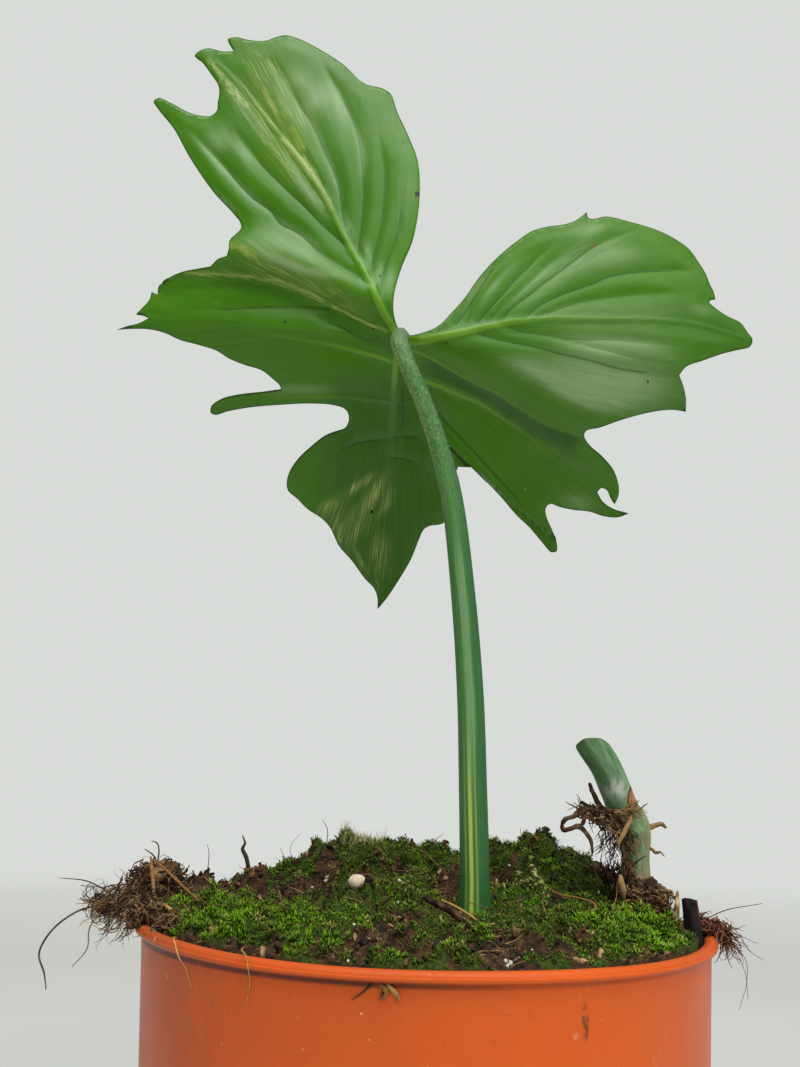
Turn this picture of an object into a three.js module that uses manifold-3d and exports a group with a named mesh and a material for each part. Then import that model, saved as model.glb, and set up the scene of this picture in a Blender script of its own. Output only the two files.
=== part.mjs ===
// A young climbing philodendron in a small nursery pot: one lobed leaf on its stalk,
// a cut length of old vine beside it, and moss over the root ball.
// Millimetres, +Z up, origin at the centre of the pot's underside, +Y towards the back.
import * as THREE from 'three';
import { mergeVertices } from 'three/addons/utils/BufferGeometryUtils.js';
import Module from 'manifold-3d';

// Pot
const POT_HEIGHT = 95;
const POT_RIM_RADIUS = 60;
const POT_RIM_BAND = 3.4;
const POT_RIM_LIP = 1.5;
const POT_BASE_RADIUS = 49;
const POT_WALL = 1.4;
const POT_FLOOR = 1.8;
const POT_SIDES = 48;
const DRAIN_HOLES = 8;
const DRAIN_HOLE_RADIUS = 4;
const DRAIN_RING_RADIUS = 33;

// Filling
const CLEARANCE = 0.3;
const MOSS_RADIUS = 56.5;
const MOSS_LEVEL = 96.2;
const MOSS_DEPTH = 6;
const MOSS_EDGE_DROP = 1.6;
const SOIL_UNDER_CUSHION = 0.55;
const MOUND_RINGS = 9;

// Leaf blade: drawn flat in quarter millimetres from the knuckle, facing a sight point in front
// of the pot, then set back point by point along the lines that run to it from that sight point
const BLADE_THICKNESS = 0.8;
const DRAWING_UNIT = 0.25;
const KNUCKLE = [-8.2, -18.6, 228.4];
const SIGHT_POINT = [-7, -192, 117];
const SIGHT_REACH = 200;
const BLADE_LEAN = 19;
const BLADE_ROLL = 1.4;
const END_LOBE_LENGTH = 67.5;
const END_LOBE_FALL = 50;
const END_LOBE_BOW = 22;
const END_LOBE_HEADING = [-0.081, -0.9967];
const SIDE_LOBE_LENGTH = 88;
const SIDE_SET_BACK_LEFT = 30;
const SIDE_SET_BACK_RIGHT = 22;
const EAR_LENGTH = 75;
const EAR_SET_BACK = 30;
const RIB_HALF_WIDTH = 1.1;
const MARGIN_STEP = 4.4;
const GRID_STEP = 5.6;
const TRIM_DEPTH = 16;

const wasm = await Module();
wasm.setup();

// Helpers
const vec = (p) => new THREE.Vector3(p[0], p[1], p[2]);
const rad = (degrees) => THREE.MathUtils.degToRad(degrees);
const mix = THREE.MathUtils.lerp;
const smooth = (t) => THREE.MathUtils.smoothstep(t, 0, 1);
const bell = (distance, width) => Math.exp(-((distance / width) ** 2));

function wobble(a, b, seed) {
  const s = Math.sin(a * 12.9898 + b * 78.233 + seed * 37.719) * 43758.5453;
  return (s - Math.floor(s)) * 2 - 1;
}

function toSolid(positions, indices) {
  return new wasm.Manifold(new wasm.Mesh({
    numProp: 3,
    vertProperties: new Float32Array(positions),
    triVerts: new Uint32Array(indices),
  }));
}

function geometryToSolid(source) {
  source.deleteAttribute('normal');
  source.deleteAttribute('uv');
  const merged = mergeVertices(source, 1e-4);
  return toSolid(merged.getAttribute('position').array, merged.getIndex().array);
}

function solidToGeometry(solid) {
  const mesh = solid.getMesh();
  const geometry = new THREE.BufferGeometry();
  geometry.setAttribute('position', new THREE.Float32BufferAttribute(mesh.vertProperties, 3));
  geometry.setIndex([...mesh.triVerts]);
  geometry.computeVertexNormals();
  return geometry;
}

function joined(solids) {
  return solids.reduce((all, solid) => all.add(solid));
}

// Joins rings of points, each with the same count, into a closed body with a hub at each end.
// From row narrowsFrom on, the quads are cut along their other diagonal
function skinRings(rings, firstHub, lastHub, narrowsFrom = Infinity) {
  const sides = rings[0].length;
  const positions = rings.flat().flatMap((v) => [v.x, v.y, v.z]);
  const indices = [];
  const next = (k) => (k + 1) % sides;
  for (let i = 0; i < rings.length - 1; i++) {
    for (let k = 0; k < sides; k++) {
      const a = i * sides + k;
      const b = i * sides + next(k);
      if (i < narrowsFrom) indices.push(a, b, b + sides, a, b + sides, a + sides);
      else indices.push(a, b, a + sides, b, b + sides, a + sides);
    }
  }
  const first = positions.length / 3;
  positions.push(firstHub.x, firstHub.y, firstHub.z, lastHub.x, lastHub.y, lastHub.z);
  const top = (rings.length - 1) * sides;
  for (let k = 0; k < sides; k++) {
    indices.push(first, next(k), k);
    indices.push(first + 1, top + k, top + next(k));
  }
  return toSolid(positions, indices);
}

// A closed round body along a path of points [x, y, z, radius]; grow makes it that much larger
function stem(path, { sides = 14, step = 6, lump = 0, seed = 1, grow = 0 } = {}) {
  const last = path.length - 1;
  const curve = new THREE.CatmullRomCurve3(path.map(vec), false, 'centripetal');
  const stations = [];
  for (let i = 0; i < last; i++) {
    const count = Math.max(1, Math.round(vec(path[i]).distanceTo(vec(path[i + 1])) / step));
    for (let k = 0; k < count; k++) stations.push(i + k / count);
  }
  stations.push(last);
  const centres = stations.map((s) => curve.getPoint(s / last));
  const tangents = stations.map((s) => curve.getTangent(s / last));
  centres[0].addScaledVector(tangents[0], -grow);
  centres.at(-1).addScaledVector(tangents.at(-1), grow);
  const upright = Math.abs(tangents[0].z) > 0.9;
  let across = new THREE.Vector3(upright ? 1 : 0, 0, upright ? 0 : 1).cross(tangents[0]).normalize();
  const rings = centres.map((centre, i) => {
    if (i > 0) {
      const turn = new THREE.Quaternion().setFromUnitVectors(tangents[i - 1], tangents[i]);
      across = across.clone().applyQuaternion(turn).normalize();
    }
    const up = tangents[i].clone().cross(across).normalize();
    const low = Math.min(last - 1, Math.floor(stations[i]));
    const radius = mix(path[low][3], path[low + 1][3], stations[i] - low) + grow;
    return Array.from({ length: sides }, (_, k) => {
      const angle = (k / sides) * Math.PI * 2;
      const r = radius * (1 + lump * wobble(i, k, seed));
      const p = centre.clone().addScaledVector(across, r * Math.cos(angle));
      return p.addScaledVector(up, r * Math.sin(angle));
    });
  });
  return skinRings(rings, centres[0], centres.at(-1));
}

// A rounded lump with an uneven surface
function lump(centre, radii, turn, { seed = 1, rough = 0.12, detail = 1, grow = 0 } = {}) {
  const ball = new THREE.IcosahedronGeometry(1, detail);
  const at = ball.getAttribute('position');
  const spin = new THREE.Euler(rad(turn[0]), rad(turn[1]), rad(turn[2]));
  for (let i = 0; i < at.count; i++) {
    const p = new THREE.Vector3().fromBufferAttribute(at, i);
    const wave = Math.sin(p.x * 3.1 + seed) * Math.cos(p.y * 2.7 - seed) + 0.5 * Math.sin(p.z * 4.3);
    const size = radii.map((radius) => radius * (1 + rough * wave) + grow);
    p.multiply(vec(size)).applyEuler(spin).add(vec(centre));
    at.setXYZ(i, p.x, p.y, p.z);
  }
  return geometryToSolid(ball);
}

// Pot: a tapered shell with a rolled rim and drainage holes round a flat floor
const RIM_FOOT = POT_HEIGHT - POT_RIM_BAND;
const WALL_TOP = POT_RIM_RADIUS - POT_RIM_LIP;
const outerWall = (z) => mix(POT_BASE_RADIUS, WALL_TOP, z / RIM_FOOT);
const innerWall = (z) => outerWall(z) - POT_WALL;

function makePot() {
  const profile = [
    [0, 0],
    [POT_BASE_RADIUS - 1.2, 0],
    [POT_BASE_RADIUS, 1.2],
    [WALL_TOP, RIM_FOOT],
    [POT_RIM_RADIUS - 0.4, RIM_FOOT],
    [POT_RIM_RADIUS, RIM_FOOT + 0.5],
    [POT_RIM_RADIUS, POT_HEIGHT - 0.8],
    [POT_RIM_RADIUS - 0.7, POT_HEIGHT],
    [innerWall(RIM_FOOT) + 0.9, POT_HEIGHT],
    [innerWall(RIM_FOOT) + 0.1, POT_HEIGHT - 0.9],
    [innerWall(POT_FLOOR + 1.2), POT_FLOOR + 1.2],
    [innerWall(POT_FLOOR) - 1.2, POT_FLOOR],
    [0, POT_FLOOR],
  ];
  const shell = new THREE.LatheGeometry(profile.map(([r, z]) => new THREE.Vector2(r, z)), POT_SIDES);
  let pot = geometryToSolid(shell.rotateX(Math.PI / 2));
  for (let i = 0; i < DRAIN_HOLES; i++) {
    const angle = ((i + 0.5) / DRAIN_HOLES) * Math.PI * 2;
    const hole = new THREE.CylinderGeometry(DRAIN_HOLE_RADIUS, DRAIN_HOLE_RADIUS, POT_FLOOR * 3, 12);
    hole.rotateX(Math.PI / 2);
    hole.translate(DRAIN_RING_RADIUS * Math.cos(angle), DRAIN_RING_RADIUS * Math.sin(angle), POT_FLOOR / 2);
    pot = pot.subtract(geometryToSolid(hole));
  }
  return pot;
}

// Moss cushions over the root ball: x, y, height, width
const CUSHIONS = [
  [-18, 25, 13.5, 13],
  [30, 15, 14, 10],
  [44, 18, 9, 7],
  [-52, 9, 7, 7],
  [-41, 5, 8, 4.5],
  [-15, -3, 5, 8],
  [39, -22, 1.6, 9],
  [-31, -35, 1.8, 10],
  [6, 32, 5, 12],
  [-4, -30, 1.2, 9],
  [50, 2, 2.2, 6],
  [-45, -12, 2.5, 7],
  [-44, 24, 4, 9],
  [14, 44, 2.5, 9],
  [20, -8, 1.2, 8],
];

function mossTop(x, y) {
  const edge = MOSS_EDGE_DROP * smooth((Math.hypot(x, y) - 40) / 17);
  const swell = CUSHIONS.reduce((z, [cx, cy, h, w]) => z + h * bell(Math.hypot(x - cx, y - cy), w), 0);
  return MOSS_LEVEL - edge + swell;
}

function soilTop(x, y) {
  return MOSS_LEVEL - MOSS_DEPTH + SOIL_UNDER_CUSHION * (mossTop(x, y) - MOSS_LEVEL);
}

// Rings of a round height field from the middle out; the last ring lies at the given radius
function fieldRings(radius, height) {
  return Array.from({ length: MOUND_RINGS }, (_, i) => {
    const r = radius * ((i + 1) / MOUND_RINGS) ** 0.9;
    return circle(r, height);
  });
}

function circle(r, height) {
  return Array.from({ length: POT_SIDES }, (_, k) => {
    const angle = (k / POT_SIDES) * Math.PI * 2;
    const x = r * Math.cos(angle);
    const y = r * Math.sin(angle);
    return new THREE.Vector3(x, y, height(x, y));
  });
}

function makeMoss() {
  const under = (x, y) => soilTop(x, y) + CLEARANCE;
  const rings = [...fieldRings(MOSS_RADIUS, under), ...fieldRings(MOSS_RADIUS, mossTop).reverse()];
  const low = new THREE.Vector3(0, 0, under(0, 0));
  const high = new THREE.Vector3(0, 0, mossTop(0, 0));
  return skinRings(rings, low, high, MOUND_RINGS);
}

function makeSoil() {
  const foot = POT_FLOOR + CLEARANCE;
  const rings = [
    circle(innerWall(foot) - 2, () => foot),
    circle(innerWall(foot + 2) - CLEARANCE, () => foot + 2),
    ...fieldRings(MOSS_RADIUS, soilTop).reverse(),
  ];
  const low = new THREE.Vector3(0, 0, foot);
  const high = new THREE.Vector3(0, 0, soilTop(0, 0));
  return skinRings(rings, low, high, rings.length - MOUND_RINGS);
}

// Old vine: laid in the root ball, turned up beside the rim past one node, and cut off clean
const VINE = [
  [-2, -16, 74, 3.6], [8, -15, 73, 4.4], [25, -8, 75, 4.4], [41, -1, 82, 4.2], [49, 3, 92, 3.6],
  [48.8, 3.6, 99, 3.1], [48.3, 3.6, 104.6, 3.0], [48.2, 3, 109.5, 3.15], [47.8, 2, 112.8, 3.75],
  [47.1, 0.9, 115, 3.9], [45.4, 0, 117.8, 3.5], [43.1, -2, 122.5, 3.45], [40.9, -4, 127.4, 3.45],
  [37.6, -5.8, 132.4, 3.4],
];
const vine = (grow = 0) => stem(VINE, { step: 4.5, lump: 0.03, seed: 4, grow });

// Dry husk round the vine's foot, the root mass in front of it, and the air roots from them
const HUSK = [[50.6, 3.2, 95.2, 5.6], [49.4, 3.6, 98.4, 5.4], [48.7, 3.6, 101.6, 4.6], [48.3, 3.6, 104, 3.9]];
const ROOT_MASS = [
  [56, -9, 97.4, 2.2], [53.6, -5.5, 98.2, 3.4], [51.4, -3.6, 98, 3.6], [46.5, -4.4, 97.8, 3],
  [43.2, -6.2, 97.6, 1.8],
];
const AIR_ROOTS = [
  [
    [47.5, 3, 101, 1.3], [43.6, -1.6, 106.5, 0.9], [40.2, -2.4, 104.6, 0.8], [40.6, -2, 101, 0.8],
    [43.4, -1, 98.6, 0.8],
  ],
  [[50, 3.5, 101, 1.4], [54.4, 2.6, 106.2, 1.0], [57.2, 1, 104.4, 0.8], [58.6, 0.4, 103.4, 0.7]],
  [[50, 3.5, 99, 1.2], [54.6, 2, 101, 0.9], [57.4, 1.2, 99.6, 0.75]],
];
const husk = (grow = 0) => stem(HUSK, { step: 4, lump: 0.08, seed: 9, grow, sides: 12 });
const rootMass = (grow = 0) => stem(ROOT_MASS, { step: 4, lump: 0.12, seed: 5, grow, sides: 10 });

function makeStemRoots() {
  const airRoots = AIR_ROOTS.map((path) => stem(path, { sides: 7, step: 3.4 }));
  return joined([husk(), rootMass(), ...airRoots]).subtract(vine(CLEARANCE));
}

// Leaf stalk, from the buried vine up to the knuckle under the blade
const STALK = [
  [9.9, -14.8, 74.8, 3.4], [9.9, -15, 88, 3.9], [9.9, -15, 97.3, 3.35], [9.9, -15.5, 104, 3.05],
  [9.5, -16.8, 122, 2.95], [9, -18, 139.5, 2.88], [7.6, -20.2, 158.5, 2.72], [4.6, -23, 183.5, 2.45],
  [1.7, -24, 195.4, 2.25], [-2.5, -25.1, 207.7, 2.05], [-6.1, -25.4, 216.4, 2.0], [-8.3, -23.4, 224, 2.15],
  [-8.2, -19.6, 228, 2.3], [-8.2, -16.6, 229.7, 2.2],
];
const stalk = (grow = 0) => stem(STALK, { step: 6.5, grow });

// Loose things in the moss and over the rim
const CLUMP_LEFT_TUFT = [
  [-56, -8, 101, 3.2], [-60.5, -9.4, 100, 3.2], [-64.8, -11, 96.4, 2.8], [-65.2, -13, 91.5, 2.1],
  [-63.6, -15.5, 87.4, 1.1],
];
const CLUMP_RIGHT = [
  [51.5, -13.5, 97.4, 1.8], [57, -14, 98.6, 2.2], [61.9, -14.2, 96.6, 1.5], [63, -14.6, 92.6, 1.1],
];
const BARK_CHIP = [[50.4, -18.6, 94.6, 1.5], [51.2, -18.6, 98.4, 1.9], [52, -18.4, 101.4, 0.9]];
const TWIG_SPIKE = [[48.2, -14.8, 94, 1.2], [49.4, -13.6, 98, 1.2], [50.6, -12, 103, 0.45]];
const STICK = [[-0.5, -30, 101.4, 0.85], [4, -32, 99.6, 0.95], [8.4, -34, 97, 0.8]];
const STRAW = [[-50, -24, 98.6, 0.6], [-46, -26.5, 96.9, 0.6], [-42, -29, 95.1, 0.5]];
const PEBBLE_AT = [-14.5, -7, 102.2];
const PEBBLE_RADII = [2.3, 1.9, 1.6];
const CLUMP_LEFT_AT = [-54.5, -7.5, 101];
const CLUMP_LEFT_RADII = [7.5, 6, 4];

const rough = (path, options) => stem(path, { sides: 7, step: 3.4, lump: 0.05, ...options });
const LOOSE = {
  root_clump_left: (grow = 0) => joined([
    lump(CLUMP_LEFT_AT, CLUMP_LEFT_RADII, [0, 8, 12], { seed: 4, rough: 0.15, detail: 2, grow }),
    rough(CLUMP_LEFT_TUFT, { seed: 3, sides: 10, lump: 0.14, grow }),
  ]),
  root_clump_right: (grow = 0) => rough(CLUMP_RIGHT, { seed: 8, sides: 9, lump: 0.16, grow }),
  bark_chip: (grow = 0) => rough(BARK_CHIP, { seed: 2, sides: 6, grow }),
  twig_spike: (grow = 0) => rough(TWIG_SPIKE, { seed: 6, grow }),
  stick: (grow = 0) => rough(STICK, { seed: 7, grow }),
  straw: (grow = 0) => rough(STRAW, { sides: 6, grow }),
  pebble: (grow = 0) => lump(PEBBLE_AT, PEBBLE_RADII, [10, 15, 20], { seed: 2, grow }),
};

// The root ball and the moss make way for everything that stands in them
function withRoomFor(solid) {
  const bodies = [vine, stalk, husk, rootMass, ...Object.values(LOOSE)];
  return bodies.reduce((rest, body) => rest.subtract(body(CLEARANCE)), solid);
}

// Leaf margin, stretch by stretch between its sharp corners
const MARGIN = [
  // Left ear, from the notch above the knob up its inner margin to the first tooth
  [
    [2, 4], [-4.5, 16], [-6.5, 38], [1, 69], [13, 99], [19.5, 138], [18, 175], [9, 200], [-3, 226],
    [-9, 243], [-17, 248.5], [-36, 254], [-57, 273], [-83, 289.5], [-100, 298], [-114, 302],
    [-124, 300], [-134, 296.5], [-149, 297], [-164, 300], [-172, 298], [-169.5, 292], [-165.5, 286],
  ],
  // Left ear, second and third teeth
  [
    [-165.5, 286], [-178, 286], [-191, 289], [-200, 286.5], [-205, 281.5], [-199, 277], [-189, 264],
    [-181, 251], [-180.5, 242], [-182, 234], [-182.5, 227], [-189, 221.5], [-198, 221.5], [-211, 225],
    [-229, 234.5], [-241, 239.5], [-246, 236], [-242, 229], [-226, 209], [-209, 178.5], [-187, 146.5],
    [-168, 126], [-159.5, 115], [-158.5, 109], [-163, 104], [-170, 97], [-171, 88], [-173, 82],
  ],
  // Left lateral lobe, upper margin
  [[-173, 82], [-182, 79], [-190, 71]],
  // Left lateral lobe, shoulder
  [[-190, 71], [-202, 69], [-219, 65.5], [-233, 59], [-241, 51], [-242, 43]],
  // Left lateral lobe, small tooth
  [[-242, 43], [-248, 45.5]],
  // Left lateral lobe, edge to the hooked tooth
  [[-248, 45.5], [-250, 38], [-257, 30], [-263.5, 23.5]],
  // Left lateral lobe, hooked tooth
  [[-263.5, 23.5], [-257, 22.5], [-251, 19.5]],
  // Left lateral lobe, top of the long point
  [[-251, 19.5], [-261, 14.5], [-272, 12], [-283, 8]],
  // Left lateral lobe, lower margin
  [
    [-283, 8], [-269, 9], [-250, 8.5], [-235, 5], [-219, -2], [-202, -6.5], [-183, -12.5], [-171, -20],
    [-155, -26.5], [-138, -32], [-127, -40.5], [-120, -47], [-118.5, -51.5],
  ],
  // Narrow finger lobe and the bay under it
  [
    [-118.5, -51.5], [-136, -54], [-162, -57], [-178, -61], [-188.5, -68], [-189, -74.5], [-184, -76.5],
    [-172, -73], [-150, -69], [-114, -66], [-89, -65], [-67, -66.5], [-55, -70.5], [-51.5, -76],
    [-51.5, -84], [-55, -90.5], [-64, -93.5], [-75, -98], [-91, -110.5], [-101, -120], [-109, -131],
    [-113, -142], [-112, -152], [-103, -160], [-92, -171], [-79, -179.5], [-70, -189], [-61, -207.5],
    [-48, -222.5], [-35, -240.5], [-26, -250], [-22.5, -260], [-22.5, -271],
  ],
  // End lobe, right margin up to its small bay
  [
    [-22.5, -271], [-14, -261], [-1, -241.5], [11, -221], [19.5, -200], [24, -191], [30, -187.5],
    [42, -185.5], [51, -177], [56, -163], [57.5, -149], [55.5, -136], [58, -128.5],
  ],
  // End lobe, side point behind the stalk
  [[58, -128.5], [70, -128]],
  // Slit between the end lobe and the right lower lobe
  [[70, -128], [58, -120.5], [47, -111.5], [36, -99]],
  // Right lower lobe, lower margin
  [
    [36, -99], [41, -99.5], [50, -108], [61, -119.5], [73.5, -130.5], [86, -143], [101.5, -159.5],
    [116, -176.5], [130, -190], [143, -205.5], [151, -214], [156.5, -213], [157, -206], [153, -194],
    [147, -180], [145.5, -170], [150, -165.5], [159, -168.5], [173, -171.5], [190, -173.5], [204, -178],
    [218, -179], [228, -175.5],
  ],
  // Right lower lobe, upper side of its long point
  [[228, -175.5], [213, -171], [203, -164], [197, -154]],
  // Right lower lobe, hooked tooth
  [[197, -154], [201.5, -149.5], [207, -152], [210.5, -160], [214.5, -166]],
  // Right lower lobe, upper margin and the bay above it
  [
    [214.5, -166], [218.5, -157], [218.5, -146], [213, -131.5], [202, -118.5], [190, -108], [184, -98],
    [186, -92.5], [200, -89], [220, -82], [250, -74], [272, -71.5], [285.5, -73.5],
  ],
  // Right lateral lobe, end below the notch
  [[285.5, -73.5], [285.5, -60], [283, -48], [279, -37]],
  // Right lateral lobe, blunt point
  [
    [279, -37], [286, -28.5], [302, -23], [322, -16], [338, -12], [349.5, -9], [352, -2], [347, 5.5],
    [340, 15], [328, 21], [317, 28], [308.5, 35],
  ],
  // Right ear, small tooth
  [[308.5, 35], [310.5, 38], [315, 38.5]],
  // Right ear, outer margin
  [
    [315, 38.5], [313, 46], [309, 54], [306, 62.5], [298, 75.5], [288, 89], [273, 99.5], [255, 108],
    [230, 115.5], [206, 121], [193, 118.5], [187.5, 120], [186.5, 125.5],
  ],
  // Right ear, upper margin back to the knob
  [
    [186.5, 125.5], [177, 118], [166, 113.5], [146, 110.5], [132, 106.5], [111, 92], [94, 77], [78, 59],
    [64, 39], [52, 25.5], [38, 11.5], [24, 5.5], [11, 2.5], [2, 4],
  ],
];

// Ribs raised on the underside: the line, its height at the knuckle end and at the far end
const RIB_LINES = {
  midrib: [
    [-1, -3], [-4.5, -27], [-6, -47], [-6.5, -64], [-8, -82], [-8.5, -102], [-10, -137], [-13, -182],
    [-17, -227], [-22, -264],
  ],
  leftEar: [
    [-4, 5], [-11, 18], [-22.5, 38], [-32, 58], [-42.5, 78], [-54, 98], [-64, 118], [-73, 138],
    [-86.5, 158], [-101, 178], [-117, 198], [-133, 218], [-148, 238], [-165, 258], [-182, 274],
  ],
  rightEar: [
    [8, -2.5], [20, -2], [40, 1], [60, 4.5], [80, 8.5], [100, 12.5], [120, 16], [140, 18.5], [160, 19],
    [200, 18.5], [250, 18], [300, 12.5], [342, -0.5],
  ],
  leftLateral: [
    [-10, -22], [-20, -18.5], [-40, -13], [-60, -7.5], [-80, -3.5], [-100, -0.5], [-120, 2], [-150, 5],
    [-200, 7.5], [-245, 12],
  ],
  finger: [[-9, -65], [-28, -62], [-55, -59], [-95, -58], [-135, -61], [-178, -68.5]],
  rightLower: [
    [7, -33], [21, -39.5], [40, -47], [60, -56], [80, -64.5], [100, -77], [120, -89.5], [140, -106.5],
    [152, -117.5], [168, -132], [180, -141.5], [191, -150.5],
  ],
};
const RIB_HEIGHTS = {
  midrib: [1.1, 0.3],
  leftEar: [1.0, 0.15],
  rightEar: [1.1, 0.15],
  leftLateral: [0.5, 0.1],
  finger: [0.3, 0.1],
  rightLower: [0.6, 0.15],
};
// Creases that part the lobes, and the slit beside the end lobe
const LEFT_FOLD_LINE = [
  [-7, 2.5], [-20, 7.5], [-40, 17], [-60, 27.5], [-80, 37], [-100, 47], [-120, 54.5], [-145, 59.5],
  [-175, 62.5], [-205, 62], [-230, 58],
];
const RIGHT_RIDGE_LINE = [
  [11, -11], [28, -18], [41.5, -25.5], [60, -36], [80, -46.5], [100, -56], [120, -69.5], [140, -81],
  [160, -90], [176, -94.5],
];
const SLIT_LINE = [[36, -99], [70, -128]];

const drawn = (list) => list.map(([x, y]) => new THREE.Vector2(x * DRAWING_UNIT, y * DRAWING_UNIT));
const ribs = Object.entries(RIB_LINES).map(([name, line]) => (
  { line: drawn(line), heights: RIB_HEIGHTS[name] }
));
const leftFold = drawn(LEFT_FOLD_LINE);
const rightRidge = drawn(RIGHT_RIDGE_LINE);
const rightLower = drawn(RIB_LINES.rightLower);
const slit = drawn(SLIT_LINE);

// Nearest place on a line: the distance, the share of the line passed, and the side it lies on
// (1 to the left of travel, -1 to the right)
function nearest(p, line) {
  const spans = line.slice(1).map((b, i) => b.distanceTo(line[i]));
  const total = spans.reduce((a, b) => a + b, 0);
  let best = { distance: Infinity, along: 0, side: 1 };
  let passed = 0;
  for (let i = 0; i < spans.length; i++) {
    const a = line[i];
    const run = line[i + 1].clone().sub(a);
    const reach = p.clone().sub(a);
    const t = THREE.MathUtils.clamp(reach.dot(run) / run.lengthSq(), 0, 1);
    const distance = a.clone().addScaledVector(run, t).distanceTo(p);
    if (distance < best.distance) {
      const side = Math.sign(run.cross(reach)) || 1;
      best = { distance, along: (passed + t * spans[i]) / total, side };
    }
    passed += spans[i];
  }
  return best;
}

// The crease on the left: a crest over it, a drop at it, and the lobe below lies deeper
function leftCrease(p) {
  const { distance, side } = nearest(p, leftFold);
  if (side > 0) return 3 * bell(distance, 14);
  return 3 * bell(distance, 3) - 3.2 * bell(distance - 6.5, 4.5);
}

// The crease on the right steps back between the ridge and the rib of the lower lobe
function rightCrease(p) {
  const ridge = nearest(p, rightRidge);
  const rib = nearest(p, rightLower);
  if (ridge.side > 0) return -2.2 * bell(ridge.distance - 6, 6);
  if (rib.side < 0) return 4 * bell(rib.distance, 16);
  return 4 * smooth(ridge.distance / (ridge.distance + rib.distance + 0.01));
}

// The end lobe's side point passes behind the lobe across the slit
function behindSlit(p) {
  const run = slit[1].clone().sub(slit[0]).normalize();
  const reach = p.clone().sub(slit[0]);
  const below = -run.cross(reach);
  return below > 0 ? 4 * smooth(reach.dot(run) / 8) * bell(below, 9) : 0;
}

// How far a point of the drawing is set back
function setBack(x, y) {
  const p = new THREE.Vector2(x, y);
  const r = p.length();
  const heading = r > 0 ? (x * END_LOBE_HEADING[0] + y * END_LOBE_HEADING[1]) / r : 0;
  const t = Math.min(1.2, r / END_LOBE_LENGTH);
  const endLobe = Math.max(0, heading) ** 1.3 * (END_LOBE_FALL * t + END_LOBE_BOW * (1 - (1 - t) ** 2));
  const aside = x < 0 ? SIDE_SET_BACK_LEFT : SIDE_SET_BACK_RIGHT;
  const sideLobes = aside * (r / SIDE_LOBE_LENGTH) ** 1.5 * (1 - heading * heading);
  const ears = EAR_SET_BACK * (Math.max(0, y) / EAR_LENGTH) ** 1.5;
  const creases = smooth(r / 13) * (x < 0 ? leftCrease(p) : rightCrease(p));
  return endLobe + sideLobes + ears + creases + behindSlit(p);
}

const levelUp = new THREE.Vector3(0, 0, 1).applyAxisAngle(new THREE.Vector3(1, 0, 0), rad(BLADE_LEAN));
const facing = new THREE.Vector3(0, 1, 0).applyAxisAngle(new THREE.Vector3(1, 0, 0), rad(BLADE_LEAN));
const acrossAxis = new THREE.Vector3(1, 0, 0).applyAxisAngle(facing, -rad(BLADE_ROLL));
const upAxis = levelUp.applyAxisAngle(facing, -rad(BLADE_ROLL));

function bladePoint(x, y) {
  const flat = vec(KNUCKLE).addScaledVector(acrossAxis, x).addScaledVector(upAxis, y);
  return vec(SIGHT_POINT).lerp(flat, 1 + setBack(x, y) / SIGHT_REACH);
}

function undersideNormal(x, y) {
  const h = 0.8;
  const dx = bladePoint(x + h, y).sub(bladePoint(x - h, y));
  const dy = bladePoint(x, y + h).sub(bladePoint(x, y - h));
  return dx.cross(dy).normalize();
}

function ribHeight(p) {
  const clearOfStalk = smooth((p.length() - 2.8) / 2.5);
  const heights = ribs.map(({ line, heights: [near, far] }) => {
    const { distance, along } = nearest(p, line);
    return mix(near, far, along) * bell(distance, RIB_HALF_WIDTH);
  });
  return clearOfStalk * Math.max(...heights);
}

function flatCurve(points) {
  return new THREE.CatmullRomCurve3(points.map((p) => new THREE.Vector3(p.x, p.y, 0)), false, 'centripetal');
}

// Margin points, with points added on the curve where the drawing has long gaps
function makeMargin() {
  const points = [];
  for (const stretch of MARGIN) {
    const corners = drawn(stretch);
    const last = corners.length - 1;
    const curve = flatCurve(corners);
    for (let i = 0; i < last; i++) {
      const count = Math.max(1, Math.round(corners[i].distanceTo(corners[i + 1]) / MARGIN_STEP));
      for (let k = 0; k < count; k++) {
        const p = curve.getPoint((i + k / count) / last);
        points.push(new THREE.Vector2(p.x, p.y));
      }
    }
  }
  return points;
}

const margin = makeMargin();
const marginLoop = [...margin, margin[0]];

function insideMargin(p) {
  let inside = false;
  for (let i = 0; i < margin.length; i++) {
    const a = marginLoop[i];
    const b = marginLoop[i + 1];
    const crosses = (a.y > p.y) !== (b.y > p.y);
    if (crosses && p.x < a.x + ((b.x - a.x) * (p.y - a.y)) / (b.y - a.y)) inside = !inside;
  }
  return inside;
}

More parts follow.
